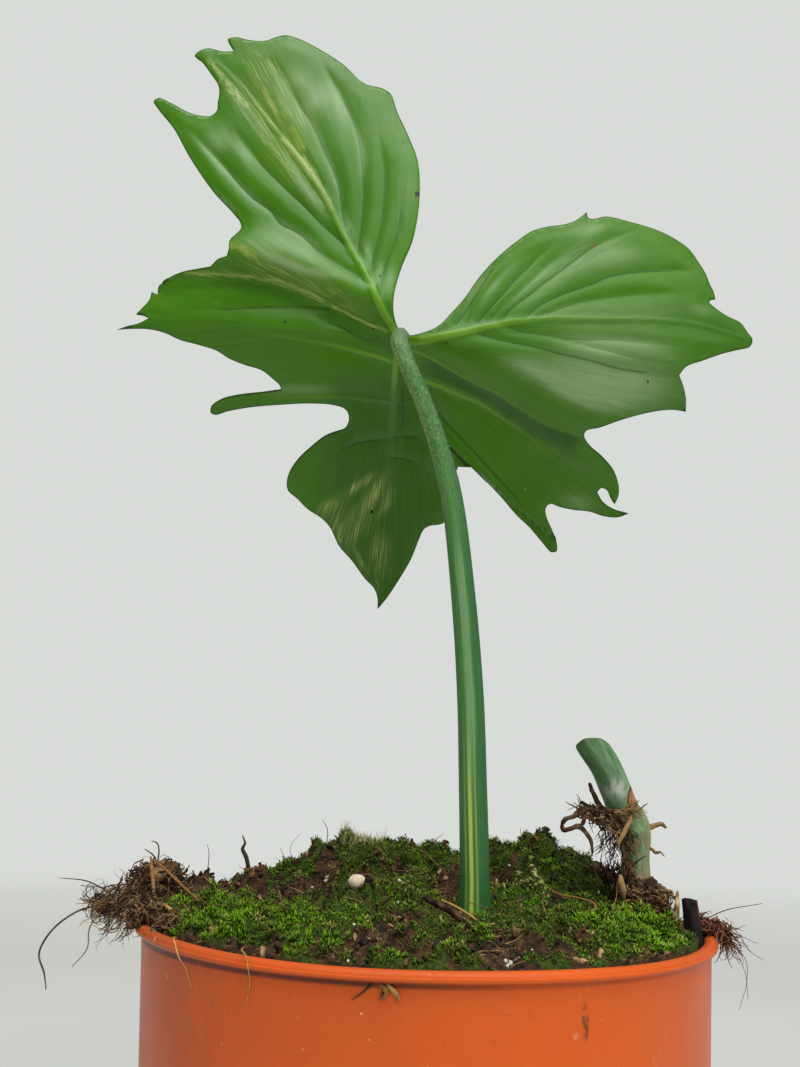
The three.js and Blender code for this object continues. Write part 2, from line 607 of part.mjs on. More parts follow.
// Inner points: rows along the ribs and creases first, then a staggered grid
function makeInnerPoints() {
  const kept = [];
  const keep = (p, fromMargin, fromOthers) => {
    if (!insideMargin(p) || nearest(p, marginLoop).distance < fromMargin) return;
    if (kept.some((q) => q.distanceTo(p) < fromOthers)) return;
    kept.push(p);
  };
  const rows = [
    ...ribs.map(({ line }) => [line, 0]),
    [leftFold, 0],
    [rightRidge, 0],
    ...ribs.flatMap(({ line }) => [[line, -1.5], [line, 1.5]]),
    [leftFold, -3],
    [leftFold, -6.5],
    [leftFold, -10],
    [leftFold, 3.5],
    [rightRidge, 5],
  ];
  for (const [line, offset] of rows) {
    const curve = flatCurve(line);
    const count = Math.round(curve.getLength() / 5);
    for (let i = 0; i <= count; i++) {
      const p = curve.getPointAt(i / count);
      const t = curve.getTangentAt(i / count);
      keep(new THREE.Vector2(p.x - t.y * offset, p.y + t.x * offset), 1.3, 1.35);
    }
  }
  const rowHeight = GRID_STEP * Math.sqrt(0.75);
  for (let row = 0; row < 170 / rowHeight; row++) {
    for (let column = 0; column < 180 / GRID_STEP; column++) {
      const x = -84.1 + (column + (row % 2) / 2) * GRID_STEP;
      keep(new THREE.Vector2(x, -81.3 + row * rowHeight), 2.4, 3.1);
    }
  }
  return kept;
}

const turn = (a, b, c) => (b.x - a.x) * (c.y - a.y) - (b.y - a.y) * (c.x - a.x);

// True where d lies inside the circle through a, b and c
function inCircle(a, b, c, d) {
  const rows = [a, b, c].map((p) => [p.x - d.x, p.y - d.y, p.distanceToSquared(d)]);
  return new THREE.Matrix3().set(...rows.flat()).determinant() > 1e-7;
}

// One pass over the inner edges: an edge whose two triangles are uneven is turned
function turnEdges(points, tris) {
  const owners = new Map();
  tris.forEach((tri, index) => {
    tri.forEach((a, k) => owners.set(`${a},${tri[(k + 1) % 3]}`, index));
  });
  const touched = new Set();
  for (const [key, first] of owners) {
    const [a, b] = key.split(',').map(Number);
    const second = owners.get(`${b},${a}`);
    if (second === undefined || touched.has(first) || touched.has(second)) continue;
    const c = tris[first].find((n) => n !== a && n !== b);
    const d = tris[second].find((n) => n !== a && n !== b);
    if (!inCircle(points[a], points[b], points[c], points[d])) continue;
    tris[first] = [a, d, c];
    tris[second] = [d, b, c];
    touched.add(first).add(second);
  }
  return touched.size > 0;
}

// Fills the margin: cut into ears, split at each inner point, then edges turned until all are even
function fillMargin(inner) {
  const points = [...margin];
  const tris = THREE.ShapeUtils.triangulateShape(margin, []).map(([a, b, c]) => (
    turn(points[a], points[b], points[c]) > 0 ? [a, b, c] : [a, c, b]
  ));
  for (const p of inner) {
    const holds = (tri) => tri.every((n, k) => turn(points[n], points[tri[(k + 1) % 3]], p) > 0);
    const home = tris.findIndex(holds);
    if (home < 0) continue;
    const [a, b, c] = tris[home];
    const n = points.push(p) - 1;
    tris.splice(home, 1, [a, b, n], [b, c, n], [c, a, n]);
  }
  while (turnEdges(points, tris));
  return { points, tris };
}

// Closes two skins with the same triangles into a body; rim lists the edge points in order
function closeSkins(front, back, tris, rim) {
  const positions = [...front, ...back].flatMap((v) => [v.x, v.y, v.z]);
  const count = front.length;
  const indices = tris.flatMap(([a, b, c]) => [a, b, c, count + a, count + c, count + b]);
  rim.forEach((i, at) => {
    const j = rim[(at + 1) % rim.length];
    indices.push(j, i, count + i, j, count + i, count + j);
  });
  return toSolid(positions, indices);
}

function makeBlade() {
  const { points, tris } = fillMargin(makeInnerPoints());
  const offset = (p, by) => bladePoint(p.x, p.y).addScaledVector(undersideNormal(p.x, p.y), by);
  const front = points.map((p) => offset(p, BLADE_THICKNESS / 2 + ribHeight(p)));
  const back = points.map((p) => offset(p, -BLADE_THICKNESS / 2));
  return closeSkins(front, back, tris, margin.map((_, i) => i));
}

// A tool whose front follows the blade's underside round the knuckle; it trims the stalk's top
function stalkTrim() {
  const spokes = 20;
  const onFront = (r, k) => {
    const angle = (-k / spokes) * Math.PI * 2;
    const x = r * Math.cos(angle);
    const y = r * Math.sin(angle);
    return bladePoint(x, y).addScaledVector(undersideNormal(x, y), BLADE_THICKNESS / 2 + CLEARANCE);
  };
  const rings = [1.8, 3.6, 5.4, 7.2, 9].map((r) => Array.from({ length: spokes }, (_, k) => onFront(r, k)));
  rings.push(rings.at(-1).map((v) => v.clone().addScaledVector(facing, TRIM_DEPTH)));
  const hub = onFront(0, 0);
  return skinRings(rings, hub, hub.clone().addScaledVector(facing, TRIM_DEPTH));
}

function makeStalk() {
  return stalk().subtract(stalkTrim()).subtract(vine(CLEARANCE));
}

// Assembly
const plant = new THREE.Group();

function part(name, solid, color, roughness) {
  const material = new THREE.MeshStandardMaterial({ color, roughness, metalness: 0 });
  const mesh = new THREE.Mesh(solidToGeometry(solid), material);
  mesh.name = name;
  return mesh;
}

const filling = new THREE.Group();
filling.add(
  part('soil', withRoomFor(makeSoil()), 0x33261c, 0.95),
  part('moss', withRoomFor(makeMoss()), 0x4d7a2a, 0.95),
  part('root_clump_left', LOOSE.root_clump_left(), 0x5c4029, 0.95),
  part('root_clump_right', LOOSE.root_clump_right(), 0x5c4029, 0.95),
  part('bark_chip', LOOSE.bark_chip(), 0x40291c, 0.9),
  part('twig_spike', LOOSE.twig_spike(), 0xa6804f, 0.8),
  part('stick', LOOSE.stick(), 0x3b2c22, 0.85),
  part('straw', LOOSE.straw(), 0xb79a66, 0.8),
  part('pebble', LOOSE.pebble(), 0xdccfb2, 0.6),
);

const leaf = new THREE.Group();
leaf.add(
  part('petiole', makeStalk(), 0x2f7040, 0.5),
  part('leaf_blade', makeBlade(), 0x4c8a2e, 0.35),
);

const oldVine = new THREE.Group();
oldVine.add(
  part('vine_stem', vine(), 0x3f7a48, 0.5),
  part('stem_roots', makeStemRoots(), 0x6e4b30, 0.9),
);

plant.add(part('pot', makePot(), 0xc8602e, 0.45), filling, leaf, oldVine);

export default plant;
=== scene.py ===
"""A potted philodendron: one lobed leaf on its stalk, a cut length of old vine and moss in a nursery pot."""

import math

import bpy
import numpy as np
from mathutils import Matrix, Vector, geometry, noise


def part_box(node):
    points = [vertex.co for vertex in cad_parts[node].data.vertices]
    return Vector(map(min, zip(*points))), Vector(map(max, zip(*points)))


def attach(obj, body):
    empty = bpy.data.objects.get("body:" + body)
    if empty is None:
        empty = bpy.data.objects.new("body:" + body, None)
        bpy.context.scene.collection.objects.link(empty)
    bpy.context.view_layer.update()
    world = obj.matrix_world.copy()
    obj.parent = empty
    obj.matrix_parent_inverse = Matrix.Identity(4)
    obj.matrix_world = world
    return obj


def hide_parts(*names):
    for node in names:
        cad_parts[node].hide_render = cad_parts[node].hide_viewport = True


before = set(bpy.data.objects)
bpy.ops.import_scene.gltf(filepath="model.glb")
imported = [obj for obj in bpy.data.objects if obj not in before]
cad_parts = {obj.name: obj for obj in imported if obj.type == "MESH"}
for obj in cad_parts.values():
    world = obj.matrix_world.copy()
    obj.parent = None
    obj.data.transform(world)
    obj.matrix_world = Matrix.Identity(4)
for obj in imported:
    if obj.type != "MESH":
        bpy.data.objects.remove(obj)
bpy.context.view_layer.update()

bl_info = {
    "name": "Potted philodendron",
    "version": (1, 0, 0),
    "blender": (4, 5, 0),
    "location": "View3D > Sidebar > Plant",
    "description": "Models a one leaf philodendron with its pot, moss and old vine",
    "category": "Add Mesh",
}

MM = 0.001
TURN = 2 * math.pi


def paint(colour):
    """A colour of three parts, from 0 to 255 as on a screen, made linear; any other stays as it is."""
    if not isinstance(colour, tuple) or len(colour) != 3:
        return colour
    parts = [c / 255 for c in colour]
    return (*[c / 12.92 if c <= 0.04045 else ((c + 0.055) / 1.055) ** 2.4 for c in parts], 1.0)


def colour_prop(name, description, colour):
    return bpy.props.FloatVectorProperty(
        name=name, description=description, default=paint(colour), subtype="COLOR", size=4, min=0, max=1
    )


def length_prop(name, description, millimetres):
    return bpy.props.FloatProperty(
        name=name, description=description, default=millimetres * MM, min=0.00001, subtype="DISTANCE",
        unit="LENGTH", precision=5,
    )


def count_prop(name, description, count):
    return bpy.props.IntProperty(name=name, description=description, default=count, min=3, max=60000)


def angle_prop(name, description, degrees):
    return bpy.props.FloatProperty(
        name=name, description=description, default=math.radians(degrees), subtype="ANGLE"
    )


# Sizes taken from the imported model
POT_LOW, POT_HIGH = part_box("pot")


class PotSettings(bpy.types.PropertyGroup):
    height: length_prop("Height", "From the underside to the top of the rim", (POT_HIGH[2] - POT_LOW[2]) / MM)
    rim_radius: length_prop("Rim radius", "Outside of the rim band", (POT_HIGH[0] - POT_LOW[0]) / 2 / MM)
    base_radius: length_prop("Base radius", "Outside of the foot", 49)
    wall: length_prop("Wall", "Thickness of the plastic", 1.4)
    floor: length_prop("Floor", "Thickness of the floor", 1.8)
    rim_band: length_prop("Rim band", "Height of the band round the rim", 2.2)
    rim_lip: length_prop("Rim lip", "How far the band stands proud of the wall", 1.3)
    drain_radius: length_prop("Drain hole radius", "Radius of each drain hole", 4)
    sides: count_prop("Sides", "Faces round the pot", 160)
    colour: colour_prop("Plastic", "Colour of the plastic", (222, 94, 26))
    shade: colour_prop("Stained plastic", "Colour where soil has stained it", (176, 74, 34))
    dust: colour_prop("Dust", "Colour of dried specks and scuffs", (206, 150, 112))


class LeafSettings(bpy.types.PropertyGroup):
    thickness: length_prop("Thickness", "Thickness of the blade between its veins", 0.5)
    spacing: length_prop("Mesh spacing", "Distance between points of the blade", 0.85)
    crease: length_prop("Vein crease", "Depth of the creases along the side veins", 0.34)
    puff: length_prop("Puff", "How far the blade swells between its veins", 0.5)
    # The bright green and the end lobe green are lit and shaded copies of one green: the end lobe green is
    # painted shade on the lobes that hang down, away from the light
    bright: colour_prop("Bright green", "Raised lobes", (72, 130, 10))
    middle: colour_prop("Middle green", "Slow patches all over", (52, 106, 8))
    painted_lobe_shade: colour_prop("Deep green", "End lobe", (62, 106, 38))
    # The dark green is the net veins' own colour, and along the side veins it is also painted shade in their
    # creases
    dark: colour_prop("Dark green", "Creases and net veins", (32, 74, 12))
    # The pale colour is painted sheen: highlights on the waxy underside of the lobes
    pale: colour_prop("Painted sheen", "Pale waxy bloom on the lobes", (178, 204, 158))
    rib: colour_prop("Ribs", "Main ribs", (108, 158, 38))
    cream: colour_prop("Cream", "Cream variegation", (206, 208, 142))
    lime: colour_prop("Lime", "Yellow green variegation", (150, 170, 62))
    edge: colour_prop("Edge", "Thin dark line along the margin", (46, 58, 34))


class StalkSettings(bpy.types.PropertyGroup):
    sides: count_prop("Sides", "Faces round the stalk", 40)
    colour: colour_prop("Green", "Skin of the stalk", (86, 142, 64))
    dark: colour_prop("Dark green", "Shadowed lines and the foot", (44, 108, 44))
    light: colour_prop("Light green", "Raised lines and scurf", (156, 192, 108))
    stripe: colour_prop("Stripe", "Yellow green stripe at the foot", (196, 214, 96))
    # Painted shade: the right side of the stalk
    blue: colour_prop("Blue green", "Shaded right side", (36, 92, 52))


class FillingSettings(bpy.types.PropertyGroup):
    spacing: length_prop("Mesh spacing", "Distance between points of the bed", 0.9)
    shoot: length_prop("Shoot height", "Height of a moss shoot", 1.45)
    shoots: count_prop("Shoots", "Moss shoots in all", 32000)
    crumbs: count_prop("Crumbs", "Crumbs of soil", 2600)
    chips: count_prop("Chips", "Chips of bark and dead leaf", 900)
    fibres: count_prop("Fibres", "Fine dead fibres", 420)
    soil: colour_prop("Soil", "Dark potting soil", (38, 27, 18))
    peat: colour_prop("Peat", "Brown peat", (92, 64, 40))
    litter: colour_prop("Litter", "Pale fibres and grains", (158, 124, 80))
    dull: colour_prop("Dull moss", "Tips of the dull moss", (104, 138, 32))
    lively: colour_prop("Lively moss", "Tips of the bright moss", (134, 194, 26))
    straw: colour_prop("Dry moss", "Tips of the yellowed moss", (196, 188, 104))


class VineSettings(bpy.types.PropertyGroup):
    colour: colour_prop("Green", "Skin of the vine", (118, 156, 106))
    dark: colour_prop("Dark green", "Lines along the vine", (70, 112, 70))
    silver: colour_prop("Silver", "Pale dried patch", (206, 212, 196))
    husk: colour_prop("Husk", "Dry skin on the old wood", (166, 148, 108))
    scar: colour_prop("Scar", "Brown flap of an old leaf", (150, 88, 38))


class RootSettings(bpy.types.PropertyGroup):
    left: count_prop("Left roots", "Roots in the left clump", 480)
    right: count_prop("Right roots", "Roots in the right clump", 170)


class StageSettings(bpy.types.PropertyGroup):
    floor: colour_prop("Floor", "Colour of the floor", (216, 218, 214))
    world: colour_prop("World", "Colour of the light all round", (216, 219, 215))
    lens: bpy.props.FloatProperty(name="Lens", description="Focal length", default=27.02, unit="CAMERA")
    pitch: angle_prop("Pitch", "How far the camera looks up", 19)
    roll: angle_prop("Roll", "How far the camera leans", 1.4)
    eye: bpy.props.FloatVectorProperty(
        name="Eye", description="Place of the camera", default=(-0.007, -0.192, 0.117), subtype="TRANSLATION"
    )


# Selecting and placing
def select_none():
    if bpy.context.mode != "OBJECT":
        bpy.ops.object.mode_set(mode="OBJECT")
    bpy.ops.object.select_all(action="DESELECT")


def pick(piece):
    select_none()
    piece.select_set(True)
    bpy.context.view_layer.objects.active = piece


def dress(piece, *finishes):
    piece.data.materials.clear()
    for finish in finishes:
        piece.data.materials.append(finish)


def settle(piece, name, slot, stands_for, *finishes):
    """Names and dresses a finished piece, puts its place into its mesh and lets it ride on the plant."""
    pick(piece)
    bpy.ops.object.transform_apply(location=True, rotation=True, scale=True)
    piece.name = piece.data.name = name
    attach(piece, "root")
    if stands_for:
        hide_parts(stands_for)
    dress(piece, *finishes)


def linked(name, mesh):
    piece = bpy.data.objects.new(name, mesh)
    bpy.context.scene.collection.objects.link(piece)
    return piece


def mesh_piece(name, points, faces):
    """A smooth piece from points in millimetres and faces."""
    mesh = bpy.data.meshes.new(name)
    mesh.from_pydata((np.asarray(points, float) * MM).tolist(), [], [list(f) for f in faces])
    mesh.update()
    mesh.shade_smooth()
    return linked(name, mesh)


def mark(piece, name, values):
    """Keeps one number for each point of the piece, which its finish reads."""
    attribute = piece.data.attributes.new(name, "FLOAT", "POINT")
    attribute.data.foreach_set("value", np.asarray(values, np.float32))


def points_of(piece):
    """The piece's points in millimetres."""
    return np.array([v.co for v in piece.data.vertices]) / MM


def move_points(piece, points):
    piece.data.vertices.foreach_set("co", (points * MM).astype(np.float32).ravel())


# Lines and shapes
def smooth(t):
    t = np.clip(t, 0, 1)
    return t * t * (3 - 2 * t)


def bell(distance, width):
    return np.exp(-((distance / width) ** 2))


def mix(a, b, t):
    return a + (b - a) * t


def length_of(vectors):
    return np.linalg.norm(vectors, axis=1)


def unit(vectors):
    return vectors / length_of(vectors)[:, None]


def round_about(angle):
    """The point at an angle on a circle one in radius."""
    return np.array([math.cos(angle), math.sin(angle)])


def ripple(points, size, seed, waves=9):
    """Even, slow waves over points, about from -1 to 1, with bumps of the given size."""
    points = np.atleast_2d(np.asarray(points, float))
    dice = np.random.default_rng(seed)
    ways = unit(dice.normal(size=(waves, points.shape[1])))
    ways *= (TURN / (2 * size) * dice.uniform(0.6, 1.5, waves))[:, None]
    return np.sin(points @ ways.T + dice.uniform(0, TURN, waves)).sum(axis=1) / math.sqrt(waves) * 0.9


def curve_at(points, station):
    """Place on the smooth curve through the points; station 2.5 is halfway from the third to the fourth."""
    i = min(int(station), len(points) - 2)
    t = station - i
    start, end = points[i], points[i + 1]
    before = points[i - 1] if i > 0 else 2 * points[0] - points[1]
    after = points[i + 2] if i + 2 < len(points) else 2 * points[-1] - points[-2]
    corners = (before, start, end, after)
    d0, d1, d2 = (max(np.linalg.norm(b - a), 1e-6) ** 0.5 for a, b in zip(corners, corners[1:]))
    m1 = ((start - before) / d0 - (end - before) / (d0 + d1) + (end - start) / d1) * d1
    m2 = ((end - start) / d1 - (after - start) / (d1 + d2) + (after - end) / d2) * d1
    run = end - start
    return start + m1 * t + (3 * run - 2 * m1 - m2) * t**2 + (-2 * run + m1 + m2) * t**3


def stations_of(points, step):
    """Stations along a line so that they lie about a step apart, each given point among them."""
    out = []
    for i, span in enumerate(length_of(np.diff(points, axis=0))):
        count = max(1, round(float(span) / step))
        out += [i + k / count for k in range(count)]
    return [*out, len(points) - 1]


def curve_points(points, step):
    return np.array([curve_at(points, s) for s in stations_of(points, step)])


def nearest(points, line):
    """For each point the distance to a line, the share of the line passed, and its side (1 is left)."""
    spans = length_of(np.diff(line, axis=0))
    passed = np.concatenate([[0], np.cumsum(spans)])
    best, along, side = np.full(len(points), np.inf), np.zeros(len(points)), np.ones(len(points))
    for i, span in enumerate(spans):
        run = (line[i + 1] - line[i]) / span
        reach = points - line[i]
        t = np.clip(reach @ run, 0, span)
        distance = length_of(reach - t[:, None] * run)
        closer = distance < best
        best = np.where(closer, distance, best)
        along = np.where(closer, (passed[i] + t) / passed[-1], along)
        turn = np.sign(run[0] * reach[:, 1] - run[1] * reach[:, 0])
        side = np.where(closer, np.where(turn == 0, 1, turn), side)
    return best, along, side


def filled(loop, inner):
    """A closed loop of flat points filled with triangles that face up, through the inner points."""
    points = [Vector(p) for p in np.vstack([loop, inner])]
    count = len(loop)
    edges = [(i, (i + 1) % count) for i in range(count)]
    made = geometry.delaunay_2d_cdt(points, edges, [list(range(count))], 1, 1e-6)
    flat = np.array([tuple(p) for p in made[0]])
    faces = np.array(made[2])
    a, b, c = (flat[faces[:, k]] for k in range(3))
    turned = (b[:, 0] - a[:, 0]) * (c[:, 1] - a[:, 1]) - (b[:, 1] - a[:, 1]) * (c[:, 0] - a[:, 0]) < 0
    faces[turned] = faces[turned][:, ::-1]
    return flat, [tuple(f) for f in faces.tolist()]


def rounded_ends(centres, radii, tangents, stations, tip):
    """Two smaller rings beyond each end, which round it off over that share of its radius."""
    reach, share = np.array([0.62, 0.95]) * tip, np.array([0.75, 0.25])
    low = centres[0] - np.outer(reach[::-1], tangents[0]) * radii[0]
    high = centres[-1] + np.outer(reach, tangents[-1]) * radii[-1]
    return (
        np.vstack([low, centres, high]),
        np.concatenate([radii[0] * share[::-1], radii, radii[-1] * share]),
        np.vstack([[tangents[0]] * 2, tangents, [tangents[-1]] * 2]),
        [stations[0]] * 2 + list(stations) + [stations[-1]] * 2,
    )


def tube_parts(path, sides, step=1.0, shape=None, tip=0.0):
    """Points, faces and face corner maps of a round body along a path of points (x, y, z, radius).

    The shape gives each ring's radius factor from its station, the angles round it and its centre. A tip above
    nought rounds the ends off over that share of the end radius.
    """
    path = np.asarray(path, float)
    stations = stations_of(path[:, :3], step)
    centres = np.array([curve_at(path[:, :3], s) for s in stations])
    radii = np.interp(stations, np.arange(len(path)), path[:, 3])
    tangents = np.gradient(centres, axis=0)
    tangents /= length_of(tangents)[:, None] + 1e-12
    if tip > 0:
        centres, radii, tangents, stations = rounded_ends(centres, radii, tangents, stations, tip)
    seed = (0, 0, 1.0) if abs(tangents[0][2]) < 0.9 else (1.0, 0, 0)
    across = np.cross(tangents[0], seed)
    angles = np.arange(sides) / sides * TURN
    travelled = np.concatenate([[0], np.cumsum(length_of(np.diff(centres, axis=0)))])
    points = []
    for i, centre in enumerate(centres):
        across = across - tangents[i] * (across @ tangents[i])
        across /= np.linalg.norm(across)
        up = np.cross(tangents[i], across)
        radius = radii[i] * (shape(stations[i], angles, centre) if shape else np.ones(sides))
        points.append(
            centre + np.outer(radius * np.cos(angles), across) + np.outer(radius * np.sin(angles), up)
        )
    count = len(centres)
    low, high = count * sides, count * sides + 1
    faces, corners, caps, cap_corners = [], [], [], []
    for k in range(sides):
        n, u0, u1 = (k + 1) % sides, k / sides, (k + 1) / sides
        caps += [(low, n, k), (high, low - sides + k, low - sides + n)]
        cap_corners += [(0.5, travelled[0]), (u1, travelled[0]), (u0, travelled[0])]
        cap_corners += [(0.5, travelled[-1]), (u0, travelled[-1]), (u1, travelled[-1])]
    for i in range(count - 1):
        v0, v1 = travelled[i], travelled[i + 1]
        for k in range(sides):
            n, u0, u1 = (k + 1) % sides, k / sides, (k + 1) / sides
            faces.append((i * sides + k, i * sides + n, (i + 1) * sides + n, (i + 1) * sides + k))
            corners += [(u0, v0), (u1, v0), (u1, v1), (u0, v1)]
    return np.vstack([*points, centres[0], centres[-1]]), faces + caps, corners + cap_corners


def tube_piece(name, path, sides, **options):
    points, faces, corners = tube_parts(path, sides, **options)
    piece = mesh_piece(name, points, faces)
    layer = piece.data.uv_layers.new(name="along")
    layer.data.foreach_set("uv", np.asarray(corners, np.float32).ravel())
    return piece


def bundle_piece(name, parts, tones):
    """One piece from many loose parts, each its own points, faces and tone."""
    counts = [len(part[0]) for part in parts]
    starts = np.cumsum([0, *counts])
    faces = [tuple(n + start for n in face) for start, part in zip(starts, parts) for face in part[1]]
    piece = mesh_piece(name, np.vstack([part[0] for part in parts]), faces)
    mark(piece, "tone", np.repeat(tones, counts))
    return piece


def scatter_piece(name, model, places, turns, sizes, marks, model_marks=None):
    """One piece from many copies of a small model: its points and triangles, set down at places."""
    points, faces = (np.asarray(part) for part in model)
    count, each = len(places), len(points)
    moved = np.einsum("nij,kj->nki", turns, points) * np.reshape(sizes, (count, -1, 1)) + places[:, None]
    tris = (faces[None] + (np.arange(count) * each)[:, None, None]).reshape(-1, 3)
    mesh = bpy.data.meshes.new(name)
    mesh.vertices.add(count * each)
    mesh.vertices.foreach_set("co", (moved * MM).astype(np.float32).ravel())
    mesh.loops.add(len(tris) * 3)
    mesh.loops.foreach_set("vertex_index", tris.astype(np.int32).ravel())
    mesh.polygons.add(len(tris))
    mesh.polygons.foreach_set("loop_start", np.arange(0, len(tris) * 3, 3, dtype=np.int32))
    mesh.update(calc_edges=True)
    mesh.validate()
    piece = linked(name, mesh)
    for key, values in marks.items():
        mark(piece, key, np.repeat(values, each))
    for key, values in (model_marks or {}).items():
        mark(piece, key, np.tile(values, count))
    return piece


def turned_to(ways, spins):
    """Turning matrices that carry +Z to each way, spun about it first."""
    z = unit(ways)
    helper = np.where(np.abs(z[:, 2:3]) > 0.9, (1.0, 0, 0), (0, 0, 1.0))
    x = unit(np.cross(helper, z))
    y = np.cross(z, x)
    c, s = np.cos(spins)[:, None], np.sin(spins)[:, None]
    return np.stack([x * c + y * s, y * c - x * s, z], axis=2)


def crumb_model(seed, rough):
    """A small uneven lump about one across."""
    dice = np.random.default_rng(seed)
    g = (1 + 5**0.5) / 2
    corners = [(-1, g, 0), (1, g, 0), (-1, -g, 0), (1, -g, 0), (0, -1, g), (0, 1, g),
               (0, -1, -g), (0, 1, -g), (g, 0, -1), (g, 0, 1), (-g, 0, -1), (-g, 0, 1)]
    faces = [(0, 11, 5), (0, 5, 1), (0, 1, 7), (0, 7, 10), (0, 10, 11), (1, 5, 9), (5, 11, 4),
             (11, 10, 2), (10, 7, 6), (7, 1, 8), (3, 9, 4), (3, 4, 2), (3, 2, 6), (3, 6, 8),
             (3, 8, 9), (4, 9, 5), (2, 4, 11), (6, 2, 10), (8, 6, 7), (9, 8, 1)]
    points = np.array(corners) / np.linalg.norm(corners[0]) * 0.5
    return points * dice.uniform(1 - rough, 1 + rough, (12, 1)), faces


def fibre(start, way, length, radius, dice, curl=0.5, pull=None, sides=4, steps=9):
    """A thin wandering root: points and faces. It bends by curl at each step; pull draws it to a place."""
    way = np.asarray(way, float) / np.linalg.norm(way)
    at = np.asarray(start, float)
    path = []
    for i in range(steps + 1):
        path.append((*at, radius * (1 - 0.75 * i / steps)))
        way = way + dice.normal(size=3) * curl
        if pull is not None:
            way = way + (np.asarray(pull, float) - at) * 0.12
        way /= np.linalg.norm(way)
        at = at + way * length / steps
    return tube_parts(path, sides, step=length / steps * 1.2)[:2]


# Finishes
class Nodes:
    """Short names for the shader nodes of one tree. Most give the socket that they make."""

    def __init__(self, tree):
        self.tree = tree

    def feed(self, node, inputs):
        """Gives a node its inputs; one that is a socket is linked."""
        for key, value in inputs.items():
            if isinstance(value, bpy.types.NodeSocket):
                self.tree.links.new(value, node.inputs[key])
            else:
                node.inputs[key].default_value = value

    def add(self, kind, inputs=None, **settings):
        node = self.tree.nodes.new("ShaderNode" + kind)
        for key, value in settings.items():
            setattr(node, key, value)
        self.feed(node, inputs or {})
        return node

    def maths(self, operation, first, *others):
        for other in others:
            first = self.add("Math", {0: first, 1: other}, operation=operation).outputs[0]
        return first

    def times(self, *values):
        return self.maths("MULTIPLY", *values)

    def plus(self, *values):
        return self.maths("ADD", *values)

    def gap(self, value, middle):
        """How far a value lies from the middle."""
        return self.maths("ABSOLUTE", self.maths("SUBTRACT", value, middle), 0)

    def steps(self, value, low, high, to_low=0.0, to_high=1.0):
        """The value as a soft share: to_low below low and to_high above high."""
        inputs = {"Value": value, "From Min": low, "From Max": high, "To Min": to_low, "To Max": to_high}
        return self.add("MapRange", inputs, interpolation_type="SMOOTHSTEP").outputs[0]

    def clouds(self, place, scale, detail=3.0, rough=0.55, twist=0.0):
        inputs = {"Vector": place, "Scale": scale, "Detail": detail, "Roughness": rough, "Distortion": twist}
        return self.add("TexNoise", inputs).outputs["Fac"]

    def blend(self, share, low, high):
        return self.add("Mix", {0: share, 6: paint(low), 7: paint(high)}, data_type="RGBA").outputs[2]

    def both(self, share, first, second):
        """Two shaders mixed."""
        return self.add("MixShader", {0: share, 1: first.outputs[0], 2: second.outputs[0]}).outputs[0]

    def group(self, name, inputs):
        made = bpy.data.node_groups.get(name) or GROUPS[name]()
        return self.add("Group", inputs, node_tree=made).outputs[0]


class Finish(Nodes):
    """A material in the making, and the colour that its layers have given so far."""

    def __init__(self, name, roughness, specular, colour=None):
        self.material = bpy.data.materials.new(name)
        self.material.use_nodes = True
        super().__init__(self.material.node_tree)
        self.shader = self.tree.nodes["Principled BSDF"]
        self.feed(self.shader, {"Roughness": roughness, "Specular IOR Level": specular})
        self.place = self.add("TexCoord").outputs["Object"]
        self.colour = colour

    def layer(self, share, colour):
        self.colour = self.blend(share, self.colour, colour)

    def mark(self, name):
        return self.add("Attribute", attribute_name=name).outputs["Fac"]

    def map(self, name):
        return self.add("UVMap", uv_map=name).outputs[0]

    def axes(self, place):
        return self.add("SeparateXYZ", {0: place}).outputs

    def vector(self, x, y):
        return self.add("CombineXYZ", {0: x, 1: y}).outputs[0]

    def stretched(self, *scale):
        return self.add("Mapping", {"Vector": self.place, "Scale": scale}).outputs[0]

    def spot(self, place, centre, size):
        """A soft mark at a place: one in its middle and nought beyond its size."""
        gap = self.add("VectorMath", {0: place, 1: centre}, operation="SUBTRACT").outputs[0]
        gap = self.add("VectorMath", {0: gap, 1: size}, operation="DIVIDE").outputs[0]
        reach = self.add("VectorMath", {0: gap}, operation="LENGTH").outputs["Value"]
        return self.steps(reach, 0.45, 1.0, 1.0, 0.0)

    def specks(self, place, scale, amount):
        return self.group("Specks", {"Place": place, "Scale": scale, "Amount": amount})

    def fine_lines(self, across, along):
        return self.group("Fine lines", {"Place": self.map("along"), "Across": across, "Along": along})

    def done(self, height=None, distance=0.0001, strength=1.0, **inputs):
        """The material, with its colour and any other inputs, and bumps of a height over a distance."""
        self.feed(self.shader, {"Base Color": self.colour, **inputs})
        if height is not None:
            bump = self.add("Bump", {"Height": height, "Distance": distance, "Strength": strength})
            self.feed(self.shader, {"Normal": bump.outputs[0]})
        return self.material


def new_group(name, inputs, output):
    """An empty node group: its nodes, its named inputs, and a function that feeds its output."""
    tree = bpy.data.node_groups.new(name, "ShaderNodeTree")
    for key in inputs:
        kind = "NodeSocketVector" if key == "Place" else "NodeSocketFloat"
        tree.interface.new_socket(key, in_out="INPUT", socket_type=kind)
    tree.interface.new_socket(output, in_out="OUTPUT", socket_type="NodeSocketFloat")
    given, made = tree.nodes.new("NodeGroupInput"), tree.nodes.new("NodeGroupOutput")
    return Nodes(tree), given.outputs, lambda value: tree.links.new(value, made.inputs[0])


def specks_group():
    """Small round specks scattered over a surface: a mask, more of them with a higher amount."""
    n, given, give = new_group("Specks", ("Place", "Scale", "Amount"), "Mask")
    cells = n.add("TexVoronoi", {"Vector": given["Place"], "Scale": given["Scale"]}, feature="F1")
    size = n.add("SeparateColor", {0: cells.outputs["Color"]}).outputs[0]
    reach = n.times(n.maths("SUBTRACT", given["Amount"], size), 0.9)
    give(n.steps(n.maths("SUBTRACT", reach, cells.outputs["Distance"]), 0.0, 0.12))
    return n.tree


